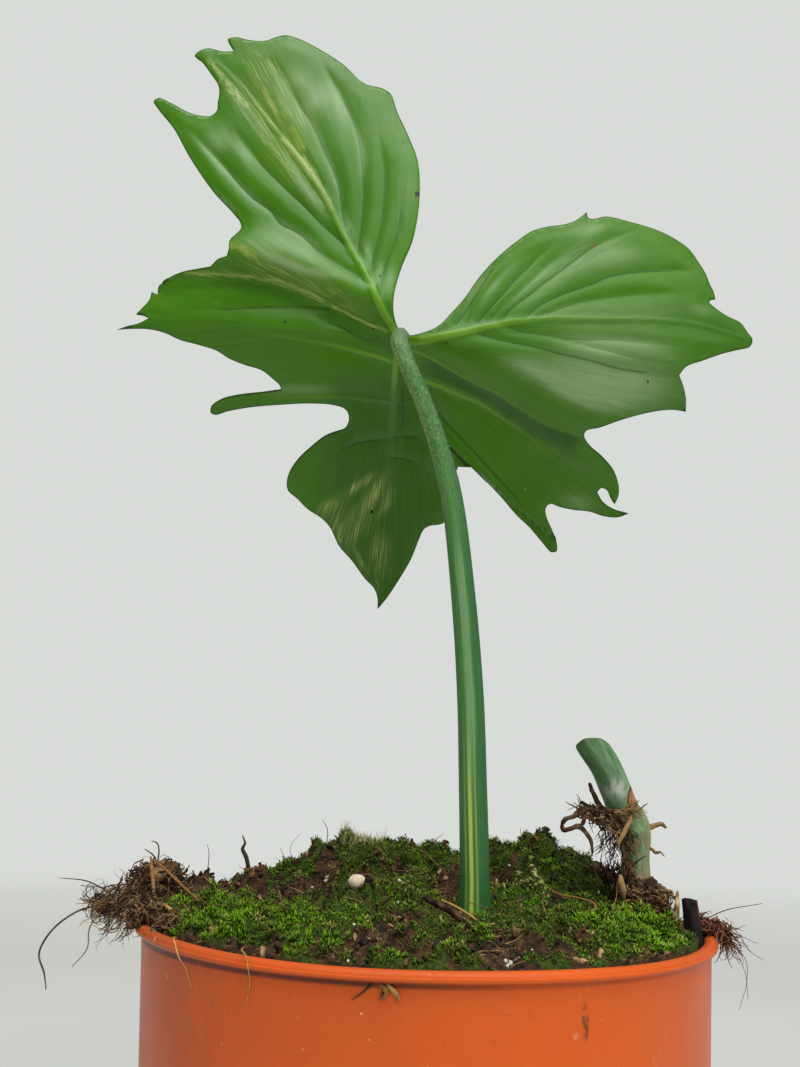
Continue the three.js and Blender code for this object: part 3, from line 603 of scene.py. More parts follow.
def lines_group():
    """Fine lines that run along a stretched map: a mask of soft stripes for colour and bump."""
    n, given, give = new_group("Fine lines", ("Place", "Across", "Along"), "Lines")
    size = n.add("CombineXYZ", {0: given["Across"], 1: given["Along"], 2: given["Along"]}).outputs[0]
    place = n.add("VectorMath", {0: given["Place"], 1: size}, operation="MULTIPLY").outputs[0]
    give(n.steps(n.clouds(place, 1.0, 4.0, 0.6), 0.3, 0.7))
    return n.tree


GROUPS = {"Specks": specks_group, "Fine lines": lines_group}


def fibre_finish(name, light, dark):
    """Dry root or straw: each one its own tone, with darker patches along it."""
    f = Finish(name.replace("_", " "), 0.8, 0.25)
    patches = f.clouds(f.place, 700, 3, 0.6)
    share = f.plus(f.mark("tone"), f.times(f.maths("SUBTRACT", patches, 0.5), 1.2))
    f.colour = f.blend(f.steps(share, 0.05, 0.95), dark, light)
    return f.done(f.clouds(f.place, 3000, 2), 0.0001, 0.6)


class PLANT_OT_stage(bpy.types.Operator):
    """Lays the pale floor, sets the light all round and the lamps, and places the camera"""

    bl_idname = "plant.stage"
    bl_label = "Stage"

    def execute(self, context):
        stage = context.scene.plant_stage
        self.lay_floor(stage)
        self.light_all(context, stage)
        self.place_camera(context, stage)
        context.scene.view_settings.view_transform = "Standard"
        return {"FINISHED"}

    def lay_floor(self, stage):
        select_none()
        bpy.ops.mesh.primitive_circle_add(vertices=96, radius=9, fill_type="NGON")
        floor = bpy.context.object
        floor.name = "floor"
        f = Finish("pale floor", 0.85, 0.2)
        darker = f.blend(0.06, stage.floor, (0, 0, 0, 1))
        f.colour = f.blend(f.steps(f.clouds(f.place, 3.0), 0.35, 0.65), darker, stage.floor)
        # Far off the floor turns into the plain backdrop
        far = f.add("VectorMath", {0: f.place}, operation="LENGTH").outputs["Value"]
        mixed = f.both(f.steps(far, 0.25, 1.6), f.shader, f.add("Emission", {"Color": stage.world}))
        f.feed(f.tree.nodes["Material Output"], {0: mixed})
        dress(floor, f.done())

    def light_all(self, context, stage):
        world = bpy.data.worlds.new("Studio")
        context.scene.world = world
        world.use_nodes = True
        n = Nodes(world.node_tree)
        wall = n.tree.nodes["Background"]
        n.feed(wall, {"Color": stage.world})
        dim = n.add("Background", {"Color": stage.world, "Strength": 0.36})
        seen = n.add("LightPath").outputs["Is Camera Ray"]
        n.feed(n.tree.nodes["World Output"], {0: n.both(seen, dim, wall)})
        for name, kind, place, target, size, power in (
            ("Overhead softbox", "AREA", (0.0, -0.3, 1.1), (0, 0, 0.22), 0.9, 5.4),
            ("Side softbox", "AREA", (0.9, -0.85, 0.7), (0, 0, 0.15), 0.7, 3.2),
            ("Window light", "SUN", (0.25, -0.9, 1.4), (0, 0, 0.1), 1.0, 1.5),
        ):
            select_none()
            turn = (Vector(place) - Vector(target)).to_track_quat("Z", "Y").to_euler()
            bpy.ops.object.light_add(type=kind, location=place, rotation=turn)
            lamp = context.object
            lamp.name = name
            lamp.data.energy = power
            setattr(lamp.data, "size" if kind == "AREA" else "angle", size)

    def place_camera(self, context, stage):
        select_none()
        turn = Matrix.Rotation(stage.pitch, 3, "X") @ Matrix(((1, 0, 0), (0, 0, -1), (0, 1, 0)))
        roll = Matrix.Rotation(stage.roll, 3, "Z")
        bpy.ops.object.camera_add(location=stage.eye, rotation=(turn @ roll).to_euler())
        camera = context.object
        camera.data.lens = stage.lens
        camera.data.sensor_width = 36
        camera.data.clip_start = 0.005
        context.scene.camera = camera


# The blade is drawn flat in quarter millimetres from the knuckle, and each point is set back along
# the line that runs to it from a sight point in front of the pot
DRAWING_UNIT = 0.25
DRAWING_WIDTH = 200
KNUCKLE = np.array([-8.2, -18.6, 228.4])
SIGHT_POINT = np.array([-7.0, -192.0, 117.0])
SIGHT_REACH = 200.0
LEAN = math.radians(19)
ROLL = math.radians(1.4)
END_HEADING = np.array([-0.081, -0.9967])
ACROSS = np.array([math.cos(ROLL), -math.sin(ROLL) * math.sin(LEAN), math.sin(ROLL) * math.cos(LEAN)])
UPWARD = np.array([-math.sin(ROLL), -math.cos(ROLL) * math.sin(LEAN), math.cos(ROLL) * math.cos(LEAN)])

# Leaf margin in quarter millimetres from the knuckle, stretch by stretch between its sharp corners
MARGIN = [
    # Left ear, from the notch above the knob up its inner margin to the first tooth
    [
        (2, 4), (-4.5, 16), (-6.5, 38), (1, 69), (13, 99), (19.5, 138), (18, 175), (9, 200), (-3, 226),
        (-9, 243), (-17, 248.5), (-36, 254), (-57, 273), (-83, 289.5), (-100, 298), (-114, 302),
        (-124, 300), (-134, 296.5), (-149, 297), (-164, 300), (-172, 298), (-169.5, 292), (-165.5, 286),
    ],
    # Left ear, second and third teeth
    [
        (-165.5, 286), (-178, 286), (-191, 289), (-200, 286.5), (-205, 281.5), (-199, 277), (-189, 264),
        (-181, 251), (-180.5, 242), (-182, 234), (-182.5, 227), (-189, 221.5), (-198, 221.5), (-211, 225),
        (-229, 234.5), (-241, 239.5), (-246, 236), (-242, 229), (-226, 209), (-209, 178.5), (-187, 146.5),
        (-168, 126), (-159.5, 115), (-158.5, 109), (-163, 104), (-170, 97), (-171, 88), (-173, 82),
    ],
    # Left lateral lobe, upper margin
    [(-173, 82), (-182, 79), (-190, 71)],
    # Left lateral lobe, shoulder
    [(-190, 71), (-202, 69), (-219, 65.5), (-233, 59), (-241, 51), (-242, 43)],
    # Left lateral lobe, small tooth
    [(-242, 43), (-248, 45.5)],
    # Left lateral lobe, edge to the hooked tooth
    [(-248, 45.5), (-250, 38), (-257, 30), (-263.5, 23.5)],
    # Left lateral lobe, hooked tooth
    [(-263.5, 23.5), (-257, 22.5), (-251, 19.5)],
    # Left lateral lobe, top of the long point
    [(-251, 19.5), (-261, 14.5), (-272, 12), (-283, 8)],
    # Left lateral lobe, lower margin
    [
        (-283, 8), (-269, 9), (-250, 8.5), (-235, 5), (-219, -2), (-202, -6.5), (-183, -12.5), (-171, -20),
        (-155, -26.5), (-138, -32), (-127, -40.5), (-120, -47), (-118.5, -51.5),
    ],
    # Narrow lobe and the bay under it
    [
        (-118.5, -51.5), (-136, -54), (-162, -57), (-178, -61), (-188.5, -68), (-189, -74.5), (-184, -76.5),
        (-172, -73), (-150, -69), (-114, -66), (-89, -65), (-67, -66.5), (-55, -70.5), (-51.5, -76),
        (-51.5, -84), (-55, -90.5), (-64, -93.5), (-75, -98), (-91, -110.5), (-101, -120), (-109, -131),
        (-113, -142), (-112, -152), (-103, -160), (-92, -171), (-79, -179.5), (-70, -189), (-61, -207.5),
        (-48, -222.5), (-35, -240.5), (-26, -250), (-22.5, -260), (-22.5, -271),
    ],
    # End lobe, right margin up to its small bay
    [
        (-22.5, -271), (-14, -261), (-1, -241.5), (11, -221), (19.5, -200), (24, -191), (30, -187.5),
        (42, -185.5), (51, -177), (56, -163), (57.5, -149), (55.5, -136), (58, -128.5),
    ],
    # End lobe, side point behind the stalk
    [(58, -128.5), (70.6, -129)],
    # Slit between the end lobe and the right lower lobe
    [(70.6, -129), (60.2, -120.4), (49.2, -109.0), (36, -99)],
    # Right lower lobe, lower margin
    [
        (36, -99), (41, -99.5), (50, -108), (61, -119.5), (73.5, -130.5), (86, -143), (101.5, -159.5),
        (116, -176.5), (130, -190), (143, -205.5), (151, -214), (156.5, -213), (157, -206), (153, -194),
        (147, -180), (145.5, -170), (150, -165.5), (159, -168.5), (173, -171.5), (190, -173.5), (204, -178),
        (218, -179), (228, -175.5),
    ],
    # Right lower lobe, upper side of its long point
    [(228, -175.5), (213, -171), (203, -164), (197, -154)],
    # Right lower lobe, hooked tooth
    [(197, -154), (201.5, -149.5), (207, -152), (210.5, -160), (214.5, -166)],
    # Right lower lobe, upper margin and the bay above it
    [
        (214.5, -166), (218.5, -157), (218.5, -146), (213, -131.5), (202, -118.5), (190, -108), (184, -98),
        (186, -92.5), (200, -89), (220, -82), (250, -74), (272, -71.5), (285.5, -73.5),
    ],
    # Right lateral lobe, end below the notch
    [(285.5, -73.5), (285.5, -60), (283, -48), (279, -37)],
    # Right lateral lobe, blunt point
    [
        (279, -37), (286, -28.5), (302, -23), (322, -16), (338, -12), (349.5, -9), (352, -2), (347, 5.5),
        (340, 15), (328, 21), (317, 28), (308.5, 35),
    ],
    # Right ear, small tooth
    [(308.5, 35), (310.5, 38), (315, 38.5)],
    # Right ear, outer margin
    [
        (315, 38.5), (313, 46), (309, 54), (306, 62.5), (298, 75.5), (288, 89), (273, 99.5), (255, 108),
        (230, 115.5), (206, 121), (193, 118.5), (187.5, 120), (186.5, 125.5),
    ],
    # Right ear, upper margin back to the knob
    [
        (186.5, 125.5), (177, 118), (166, 113.5), (146, 110.5), (132, 106.5), (111, 92), (94, 77), (78, 59),
        (64, 39), (52, 25.5), (38, 11.5), (24, 5.5), (11, 2.5), (2, 4),
    ],
]

# Ribs raised on the underside: height, half width and paleness, each at the knuckle and at the far end
RIBS = {
    "midrib": ((1.0, 0.1), (0.7, 0.3), (1.0, -0.8), [
        (-1, -3), (-4.5, -27), (-6, -47), (-6.5, -64), (-8, -82), (-8.5, -102), (-10, -137), (-13, -182),
        (-17, -227), (-22, -264),
    ]),
    "left ear": ((1.0, 0.15), (0.9, 0.2), (1.0, 0.1), [
        (-4, 5), (-11, 18), (-22.5, 38), (-32, 58), (-42.5, 78), (-54, 98), (-64, 118), (-73, 138),
        (-86.5, 158), (-101, 178), (-117, 198), (-133, 218), (-148, 238), (-165, 258), (-182, 274),
    ]),
    "right ear": ((1.1, 0.15), (1.0, 0.2), (1.0, -0.25), [
        (8, -2.5), (20, -2), (40, 1), (60, 4.5), (80, 8.5), (100, 12.5), (120, 16), (140, 18.5), (160, 19),
        (200, 18.5), (250, 18), (300, 12.5), (342, -0.5),
    ]),
    "left lateral": ((0.5, 0.1), (0.55, 0.12), (0.75, -0.2), [
        (-10, -22), (-20, -18.5), (-40, -13), (-60, -7.5), (-80, -3.5), (-100, -0.5), (-120, 2), (-150, 5),
        (-200, 7.5), (-245, 12),
    ]),
    "narrow lobe": ((0.3, 0.1), (0.5, 0.15), (0.6, 0.0), [
        (-9, -65), (-28, -62), (-55, -59), (-95, -58), (-135, -61), (-178, -68.5),
    ]),
    "right lower": ((0.6, 0.15), (0.62, 0.2), (0.75, 0.1), [
        (7, -33), (21, -39.5), (40, -47), (60, -56), (80, -64.5), (100, -77), (120, -89.5), (140, -106.5),
        (152, -117.5), (168, -132), (180, -141.5), (191, -150.5),
    ]),
    # The right ridge is a fold crest: its pale line is a painted highlight where the crest catches the light
    "right ridge": ((0.1, 0.05), (0.28, 0.16), (0.6, 0.1), [
        (11, -11), (28, -18), (41.5, -25.5), (60, -36), (80, -46.5), (100, -56), (120, -69.5), (140, -81),
        (160, -90), (176, -94.5), (192, -101),
    ]),
}
LEFT_FOLD = [
    (-7, 2.5), (-20, 7.5), (-40, 17), (-60, 27.5), (-80, 37), (-100, 47), (-120, 54.5), (-145, 59.5),
    (-175, 62.5), (-205, 62), (-230, 58),
]
RIGHT_RIDGE = RIBS["right ridge"][-1]
SLIT = [(36, -99), (70, -128)]
# Side veins: thin creases that leave the ribs
SIDE_VEINS = [
    # Right ear, over its rib
    [(56, 13.6), (69, 31), (80, 49), (91, 66), (105, 86)],
    [(77, 15), (90, 30), (100, 41), (112, 55), (133, 76), (152, 94)],
    [(100, 17), (112, 30), (128, 42), (144, 55), (166, 71), (197, 93), (236, 107)],
    [(124, 18.5), (136, 30), (152, 39), (168, 46), (192, 54), (208, 61), (240, 66), (304, 66)],
    [(88, 16), (100, 29), (118, 45), (138, 64), (160, 84)],
    [(66, 14), (76, 32), (88, 50), (104, 70)],
    [(136, 20), (160, 30), (190, 38), (230, 43), (276, 44)],
    # Right ear and right lateral lobe, under the rib
    [(96, 12), (140, 4), (181, -1), (224, -2), (270, -8)],
    [(77, 4), (90, 0), (112, -5), (140, -10), (160, -16), (192, -23), (216, -30), (240, -34), (296, -38)],
    [(110, 6), (150, 2), (190, -8), (236, -20), (280, -30)],
    # Left ear, right of its rib
    [(-41, 80), (-41, 90), (-38, 118), (-36, 148), (-38, 176), (-44, 209), (-53, 231), (-71, 262),
     (-81, 279)],
    [(-48, 88), (-57, 123), (-62, 155), (-73, 181), (-88, 214), (-100, 232), (-121, 265), (-129, 275)],
    [(-30, 56), (-26, 81), (-21, 102), (-18, 118), (-15, 158), (-20, 198)],
    [(-20, 34), (-18, 57), (-13, 75), (-5, 96), (0, 118), (3, 158)],
    # Left ear, left of its rib
    [
        (-30, 52), (-38, 59), (-60, 73), (-80, 86), (-100, 104), (-120, 115), (-129, 127), (-147, 140),
        (-159, 152), (-178, 174), (-197, 194), (-210, 207),
    ],
    [(-52, 92), (-60, 98), (-76, 112), (-96, 132), (-115, 150), (-134, 169), (-149, 186), (-163, 204)],
    # Right lower lobe, left lateral lobe and end lobe
    [(30, -62), (36, -72), (52, -91), (70, -110), (80, -121), (112, -156), (140, -192)],
    [(-20, 0), (-30, -3), (-60, 11), (-88, 22)],
    [(-70, 29), (-109, 31), (-160, 29), (-208, 27)],
    [(-8, -101), (-30, -103), (-60, -108)],
    [(-8, -99), (10, -99), (26, -101)],
    [(-9, -120), (4, -121), (20, -127)],
]
# Creases deeper than the other side veins
DEEP_VEINS = (14,)
FAINT_VEINS = (4, 5, 6, 7, 9)

# Variegation strokes: yellowness, strength, half width in millimetres, and the line
CREAM_STROKES = [
    # Left ear, along its rib
    (0.15, 1.0, 0.8, [(-121, 203), (-104, 183), (-90, 163), (-76, 143), (-66, 122)]),
    (0.2, 0.75, 1.0, [(-100, 186), (-86, 163), (-78, 148)]),
    (0.4, 0.6, 0.8, [(-150, 240), (-134, 222), (-121, 203)]),
    (0.5, 0.85, 0.7, [(-196, 284), (-178, 262), (-162, 244), (-148, 226)]),
    (0.35, 0.7, 0.5, [(-183, 262), (-168, 243), (-156, 229)]),
    (0.9, 0.8, 1.3, [(-112, 214), (-102, 198), (-92, 182)]),
    (0.8, 0.6, 1.0, [(-140, 256), (-126, 232), (-110, 208)]),
    (0.3, 0.55, 0.5, [(-132, 280), (-118, 264), (-108, 246)]),
    (0.3, 0.5, 0.5, [(-150, 292), (-136, 278), (-120, 262)]),
    (0.5, 0.45, 0.7, [(-160, 282), (-146, 262), (-138, 244)]),
    (0.7, 0.5, 1.1, [(-150, 214), (-130, 192), (-108, 168)]),
    (0.6, 0.55, 0.6, [(-126, 186), (-110, 168), (-96, 158)]),
    (0.7, 0.5, 0.5, [(-96, 158), (-80, 138), (-66, 112)]),
    # Left ear, near its notch and along the fold under it
    (0.75, 0.75, 1.1, [(-182, 99), (-172, 93), (-160, 90), (-148, 83), (-138, 76)]),
    (0.6, 0.5, 0.9, [(-146, 78), (-128, 70), (-104, 62)]),
    (0.85, 0.8, 0.75, [(-222, 66), (-190, 64), (-165, 62), (-140, 61)]),
    (0.85, 0.75, 0.85, [(-140, 61), (-118, 56), (-95, 47), (-70, 34)]),
    (0.7, 0.9, 0.6, [(-72, 35), (-50, 24), (-30, 14), (-8, 4)]),
    (0.8, 0.5, 1.3, [(-78, 55), (-66, 48), (-55, 42)]),
    (0.85, 0.5, 1.2, [(-66, 38), (-50, 32), (-36, 24)]),
    # End lobe
    (0.7, 0.7, 0.8, [(-58, -180), (-61, -198), (-57, -210)]),
    (0.85, 0.65, 1.0, [(-44, -202), (-41, -218), (-35, -236)]),
    (0.45, 0.4, 0.9, [(-15, -187), (-22, -206), (-22, -226)]),
    (0.5, 0.4, 0.6, [(-11, -190), (-9, -206), (-10, -222)]),
    (0.7, 0.6, 0.5, [(-23, -236), (-23, -258)]),
    (0.9, 0.5, 0.35, [(-12, -102), (-20, -101), (-30, -101)]),
    (0.9, 0.45, 0.4, [(-4, -63), (2, -64), (10, -65)]),
    (0.9, 0.35, 0.5, [(-64, -118), (-72, -121), (-84, -123)]),
    # Left lateral lobe
    (0.9, 0.35, 1.0, [(-196, 34), (-160, 29), (-120, 22)]),
]
# Veils of fine cream threads: strength, half width in millimetres, and the line
VEILS = [
    (1.0, 4.5, [(-158, 288), (-134, 258), (-112, 224), (-94, 190)]),
    (0.9, 3.4, [(-172, 264), (-146, 232), (-118, 196), (-92, 160)]),
    (0.7, 2.4, [(-142, 200), (-116, 174), (-90, 146)]),
    (0.8, 2.6, [(-172, 92), (-146, 80), (-112, 62), (-70, 40)]),
    (0.6, 2.2, [(-70, 52), (-46, 34), (-26, 18)]),
    (2.6, 1.3, [(-13, -134), (-27, -157), (-39, -178), (-47, -202)]),
    (2.2, 0.9, [(-24, -134), (-46, -149), (-60, -160)]),
    (2.6, 1.5, [(-58, -157), (-68, -165), (-80, -176)]),
    (2.0, 0.9, [(-10, -143), (-13, -164), (-24, -181)]),
    (1.2, 1.2, [(-224, 66), (-180, 64), (-126, 58), (-90, 46), (-50, 28)]),
    (1.0, 2.2, [(-160, 88), (-130, 74), (-92, 58), (-60, 44)]),
    (1.0, 3.4, [(-52, -160), (-46, -178), (-42, -204)]),
    (1.0, 2.4, [(-62, -172), (-58, -190), (-50, -212)]),
    (0.8, 2.6, [(-22, -190), (-20, -214), (-22, -244)]),
]
# Painted sheen: pale strokes painted where the waxy underside shows highlights; strength, half width in
# millimetres, and the line
PAINTED_SHEEN_STROKES = [
    # Left ear
    (0.75, 4.0, [(-96, 250), (-84, 238), (-72, 224)]),
    (0.6, 2.4, [(-118, 262), (-100, 254), (-88, 240)]),
    (0.65, 2.0, [(-75, 262), (-62, 236), (-50, 206)]),
    (0.95, 0.8, [(-46, 216), (-40, 196), (-37, 176), (-37, 158)]),
    (0.7, 3.0, [(-193, 208), (-180, 198), (-166, 190)]),
    (0.6, 1.6, [(-174, 204), (-158, 186), (-142, 168)]),
    (0.55, 0.8, [(-214, 208), (-180, 172), (-147, 140), (-120, 116)]),
    (0.6, 0.9, [(-128, 122), (-104, 106), (-76, 88)]),
    (0.4, 1.2, [(-196, 150), (-176, 134), (-160, 122)]),
    (1.0, 0.9, [(-155, 98), (-140, 87), (-122, 78), (-98, 69), (-72, 62), (-58, 60)]),
    (0.45, 2.6, [(-150, 110), (-126, 98), (-96, 84), (-70, 74)]),
    (0.5, 0.8, [(-96, 236), (-84, 210), (-72, 180), (-62, 150), (-57, 122)]),
    (0.8, 1.0, [(-58, 128), (-52, 112), (-46, 94)]),
    (0.75, 0.9, [(-36, 102), (-32, 86), (-29, 68)]),
    (0.7, 0.9, [(-8, 76), (-9, 62), (-12, 48)]),
    (0.55, 0.8, [(-20, 84), (-20, 66), (-20, 50)]),
    (0.35, 1.8, [(4, 170), (6, 140), (2, 112)]),
    (0.85, 1.0, [(-112, 174), (-96, 150), (-82, 132), (-72, 116)]),
    # Right ear
    (0.3, 2.2, [(166, 96), (190, 106), (210, 112)]),
    (0.55, 1.0, [(176, 100), (192, 107), (206, 112)]),
    (0.5, 3.0, [(120, 44), (150, 62), (178, 73), (208, 80), (250, 76)]),
    (0.35, 1.6, [(190, 78), (214, 83), (240, 84)]),
    (0.35, 2.4, [(130, 23), (193, 27), (252, 27), (300, 25)]),
    (0.5, 1.2, [(286, 28), (300, 27), (312, 24)]),
    (0.45, 0.8, [(60, 19), (72, 42), (96, 74)]),
    (0.4, 0.9, [(78, 25), (94, 51), (122, 80)]),
    (0.4, 0.9, [(100, 24), (130, 52), (162, 77), (194, 95)]),
    (0.3, 1.2, [(118, 24), (142, 44), (170, 56)]),
    # Right lateral lobe
    (0.9, 1.2, [(98, -19), (124, -27), (142, -36), (161, -50), (188, -63), (220, -70)]),
    (1.0, 2.8, [(108, -22), (142, -33), (170, -46), (205, -58), (246, -62)]),
    (1.0, 4.8, [(140, -24), (190, -38), (230, -46), (280, -50)]),
    (0.65, 3.4, [(146, -2), (200, -8), (240, -10), (280, -22)]),
    (0.5, 1.8, [(158, -157), (178, -163), (200, -169)]),
    # Left lateral lobe and narrow lobe
    (0.4, 1.2, [(-60, -52), (-100, -51), (-140, -54)]),
]


# Small dark marks on the underside: place, half height in quarter millimetres, and colour
SPOTS = [
    (17, 143, 4, (26, 30, 24)), (-114, 14.5, 2, (34, 34, 26)), (-26, 8.5, 2, (48, 30, 20)),
    (-20, 61, 1.6, (40, 44, 28)),
    (3, 194, 1.6, (52, 60, 34)), (-28, -173, 2.6, (34, 28, 22)), (193, 92, 2, (150, 96, 50)),
    (46, -5, 2, (70, 60, 36)),
    (247, -43, 2.2, (52, 84, 40)), (27, -48, 3, (142, 84, 50)), (125, -150, 1.6, (120, 150, 100)),
]


def drawn(line):
    return np.asarray(line, float) * DRAWING_UNIT


def fine(line):
    """A drawn line as a smooth row of points."""
    return curve_points(drawn(line), 0.8)


def left_crease(points):
    """A crest over the crease, a drop at it, and the lobe below lies deeper."""
    distance, _, side = nearest(points, drawn(LEFT_FOLD))
    over = 3 * bell(distance, 3) - 3.2 * bell(distance - 6.5, 4.5)
    return np.where(side > 0, 3 * bell(distance, 14), over)


def right_crease(points):
    """A step back between the ridge and the rib of the lower lobe."""
    ridge, _, ridge_side = nearest(points, drawn(RIGHT_RIDGE))
    rib, _, rib_side = nearest(points, drawn(RIBS["right lower"][-1]))
    between = 4 * smooth(ridge / (ridge + rib + 0.01))
    below = np.where(rib_side < 0, 4 * bell(rib, 16), between)
    return np.where(ridge_side > 0, -2.2 * bell(ridge - 6, 6), below)


def behind_slit(points):
    """The end lobe's side point passes behind the lobe across the slit."""
    start, end = drawn(SLIT)
    run = (end - start) / np.linalg.norm(end - start)
    reach = points - start
    below = -(run[0] * reach[:, 1] - run[1] * reach[:, 0])
    return np.where(below > 0, 4 * smooth(reach @ run / 8) * bell(below, 9), 0)


def set_back(points):
    """How far each flat point lies behind the drawing."""
    r = length_of(points)
    heading = (points @ END_HEADING) / np.maximum(r, 1e-9)
    t = np.minimum(1.2, r / 67.5)
    end_lobe = np.maximum(0, heading) ** 1.3 * (50 * t + 22 * (1 - (1 - t) ** 2))
    side_lobes = np.where(points[:, 0] < 0, 30, 22) * (r / 88) ** 1.5 * (1 - heading * heading)
    ears = 30 * (np.maximum(0, points[:, 1]) / 75) ** 1.5
    crease = np.where(points[:, 0] < 0, left_crease(points), right_crease(points))
    return end_lobe + side_lobes + ears + smooth(r / 13) * crease + behind_slit(points)


def blade_points(points):
    flat = KNUCKLE + np.outer(points[:, 0], ACROSS) + np.outer(points[:, 1], UPWARD)
    return SIGHT_POINT + (flat - SIGHT_POINT) * (1 + set_back(points) / SIGHT_REACH)[:, None]


def underside_normals(points):
    h = 0.4
    right = blade_points(points + (h, 0)) - blade_points(points - (h, 0))
    up = blade_points(points + (0, h)) - blade_points(points - (0, h))
    return unit(np.cross(right, up))


def strokes_over(points, strokes, run_out=0.0):
    """The strongest stroke at each point, all of them together, which it is, and the place across and along it.

    The run out is the share of its length over which a stroke fades at each end, beside 3 mm.
    """
    best, which, clear = np.zeros(len(points)), np.zeros(len(points), int), np.ones(len(points))
    grain = np.zeros((2, len(points)))
    for i, (*_, strength, half_width, line) in enumerate(strokes):
        path = curve_points(drawn(line), 1.0)
        distance, along, side = nearest(points, path)
        length = length_of(np.diff(path, axis=0)).sum()
        fade = 3 + run_out * length
        ends = smooth(along * length / fade + 0.2) * smooth((1 - along) * length / fade + 0.2)
        share = strength * bell(distance, half_width) * ends
        clear = clear * (1 - share)
        grain = np.where(share > best, (distance * side, along * length + 9 * i), grain)
        which = np.where(share > best, i, which)
        best = np.maximum(best, share)
    return best, 1 - clear, which, grain


def inside(points, loop):
    """Which points lie inside a closed loop of flat points."""
    within = np.zeros(len(points), bool)
    for a, b in zip(loop, np.roll(loop, -1, axis=0)):
        crosses = (a[1] > points[:, 1]) != (b[1] > points[:, 1])
        height = b[1] - a[1] if b[1] != a[1] else 1e-12
        within ^= crosses & (points[:, 0] < a[0] + (b[0] - a[0]) * (points[:, 1] - a[1]) / height)
    return within


def spaced_out(points, gap):
    """The points in order, without those closer than the gap to one kept before."""
    taken, kept = {}, []
    for p in points:
        home = (int(p[0] // gap), int(p[1] // gap))
        near = (q for i in (-1, 0, 1) for j in (-1, 0, 1) for q in taken.get((home[0] + i, home[1] + j), ()))
        if all((q[0] - p[0]) ** 2 + (q[1] - p[1]) ** 2 >= gap * gap for q in near):
            taken.setdefault(home, []).append(p)
            kept.append(p)
    return np.array(kept)


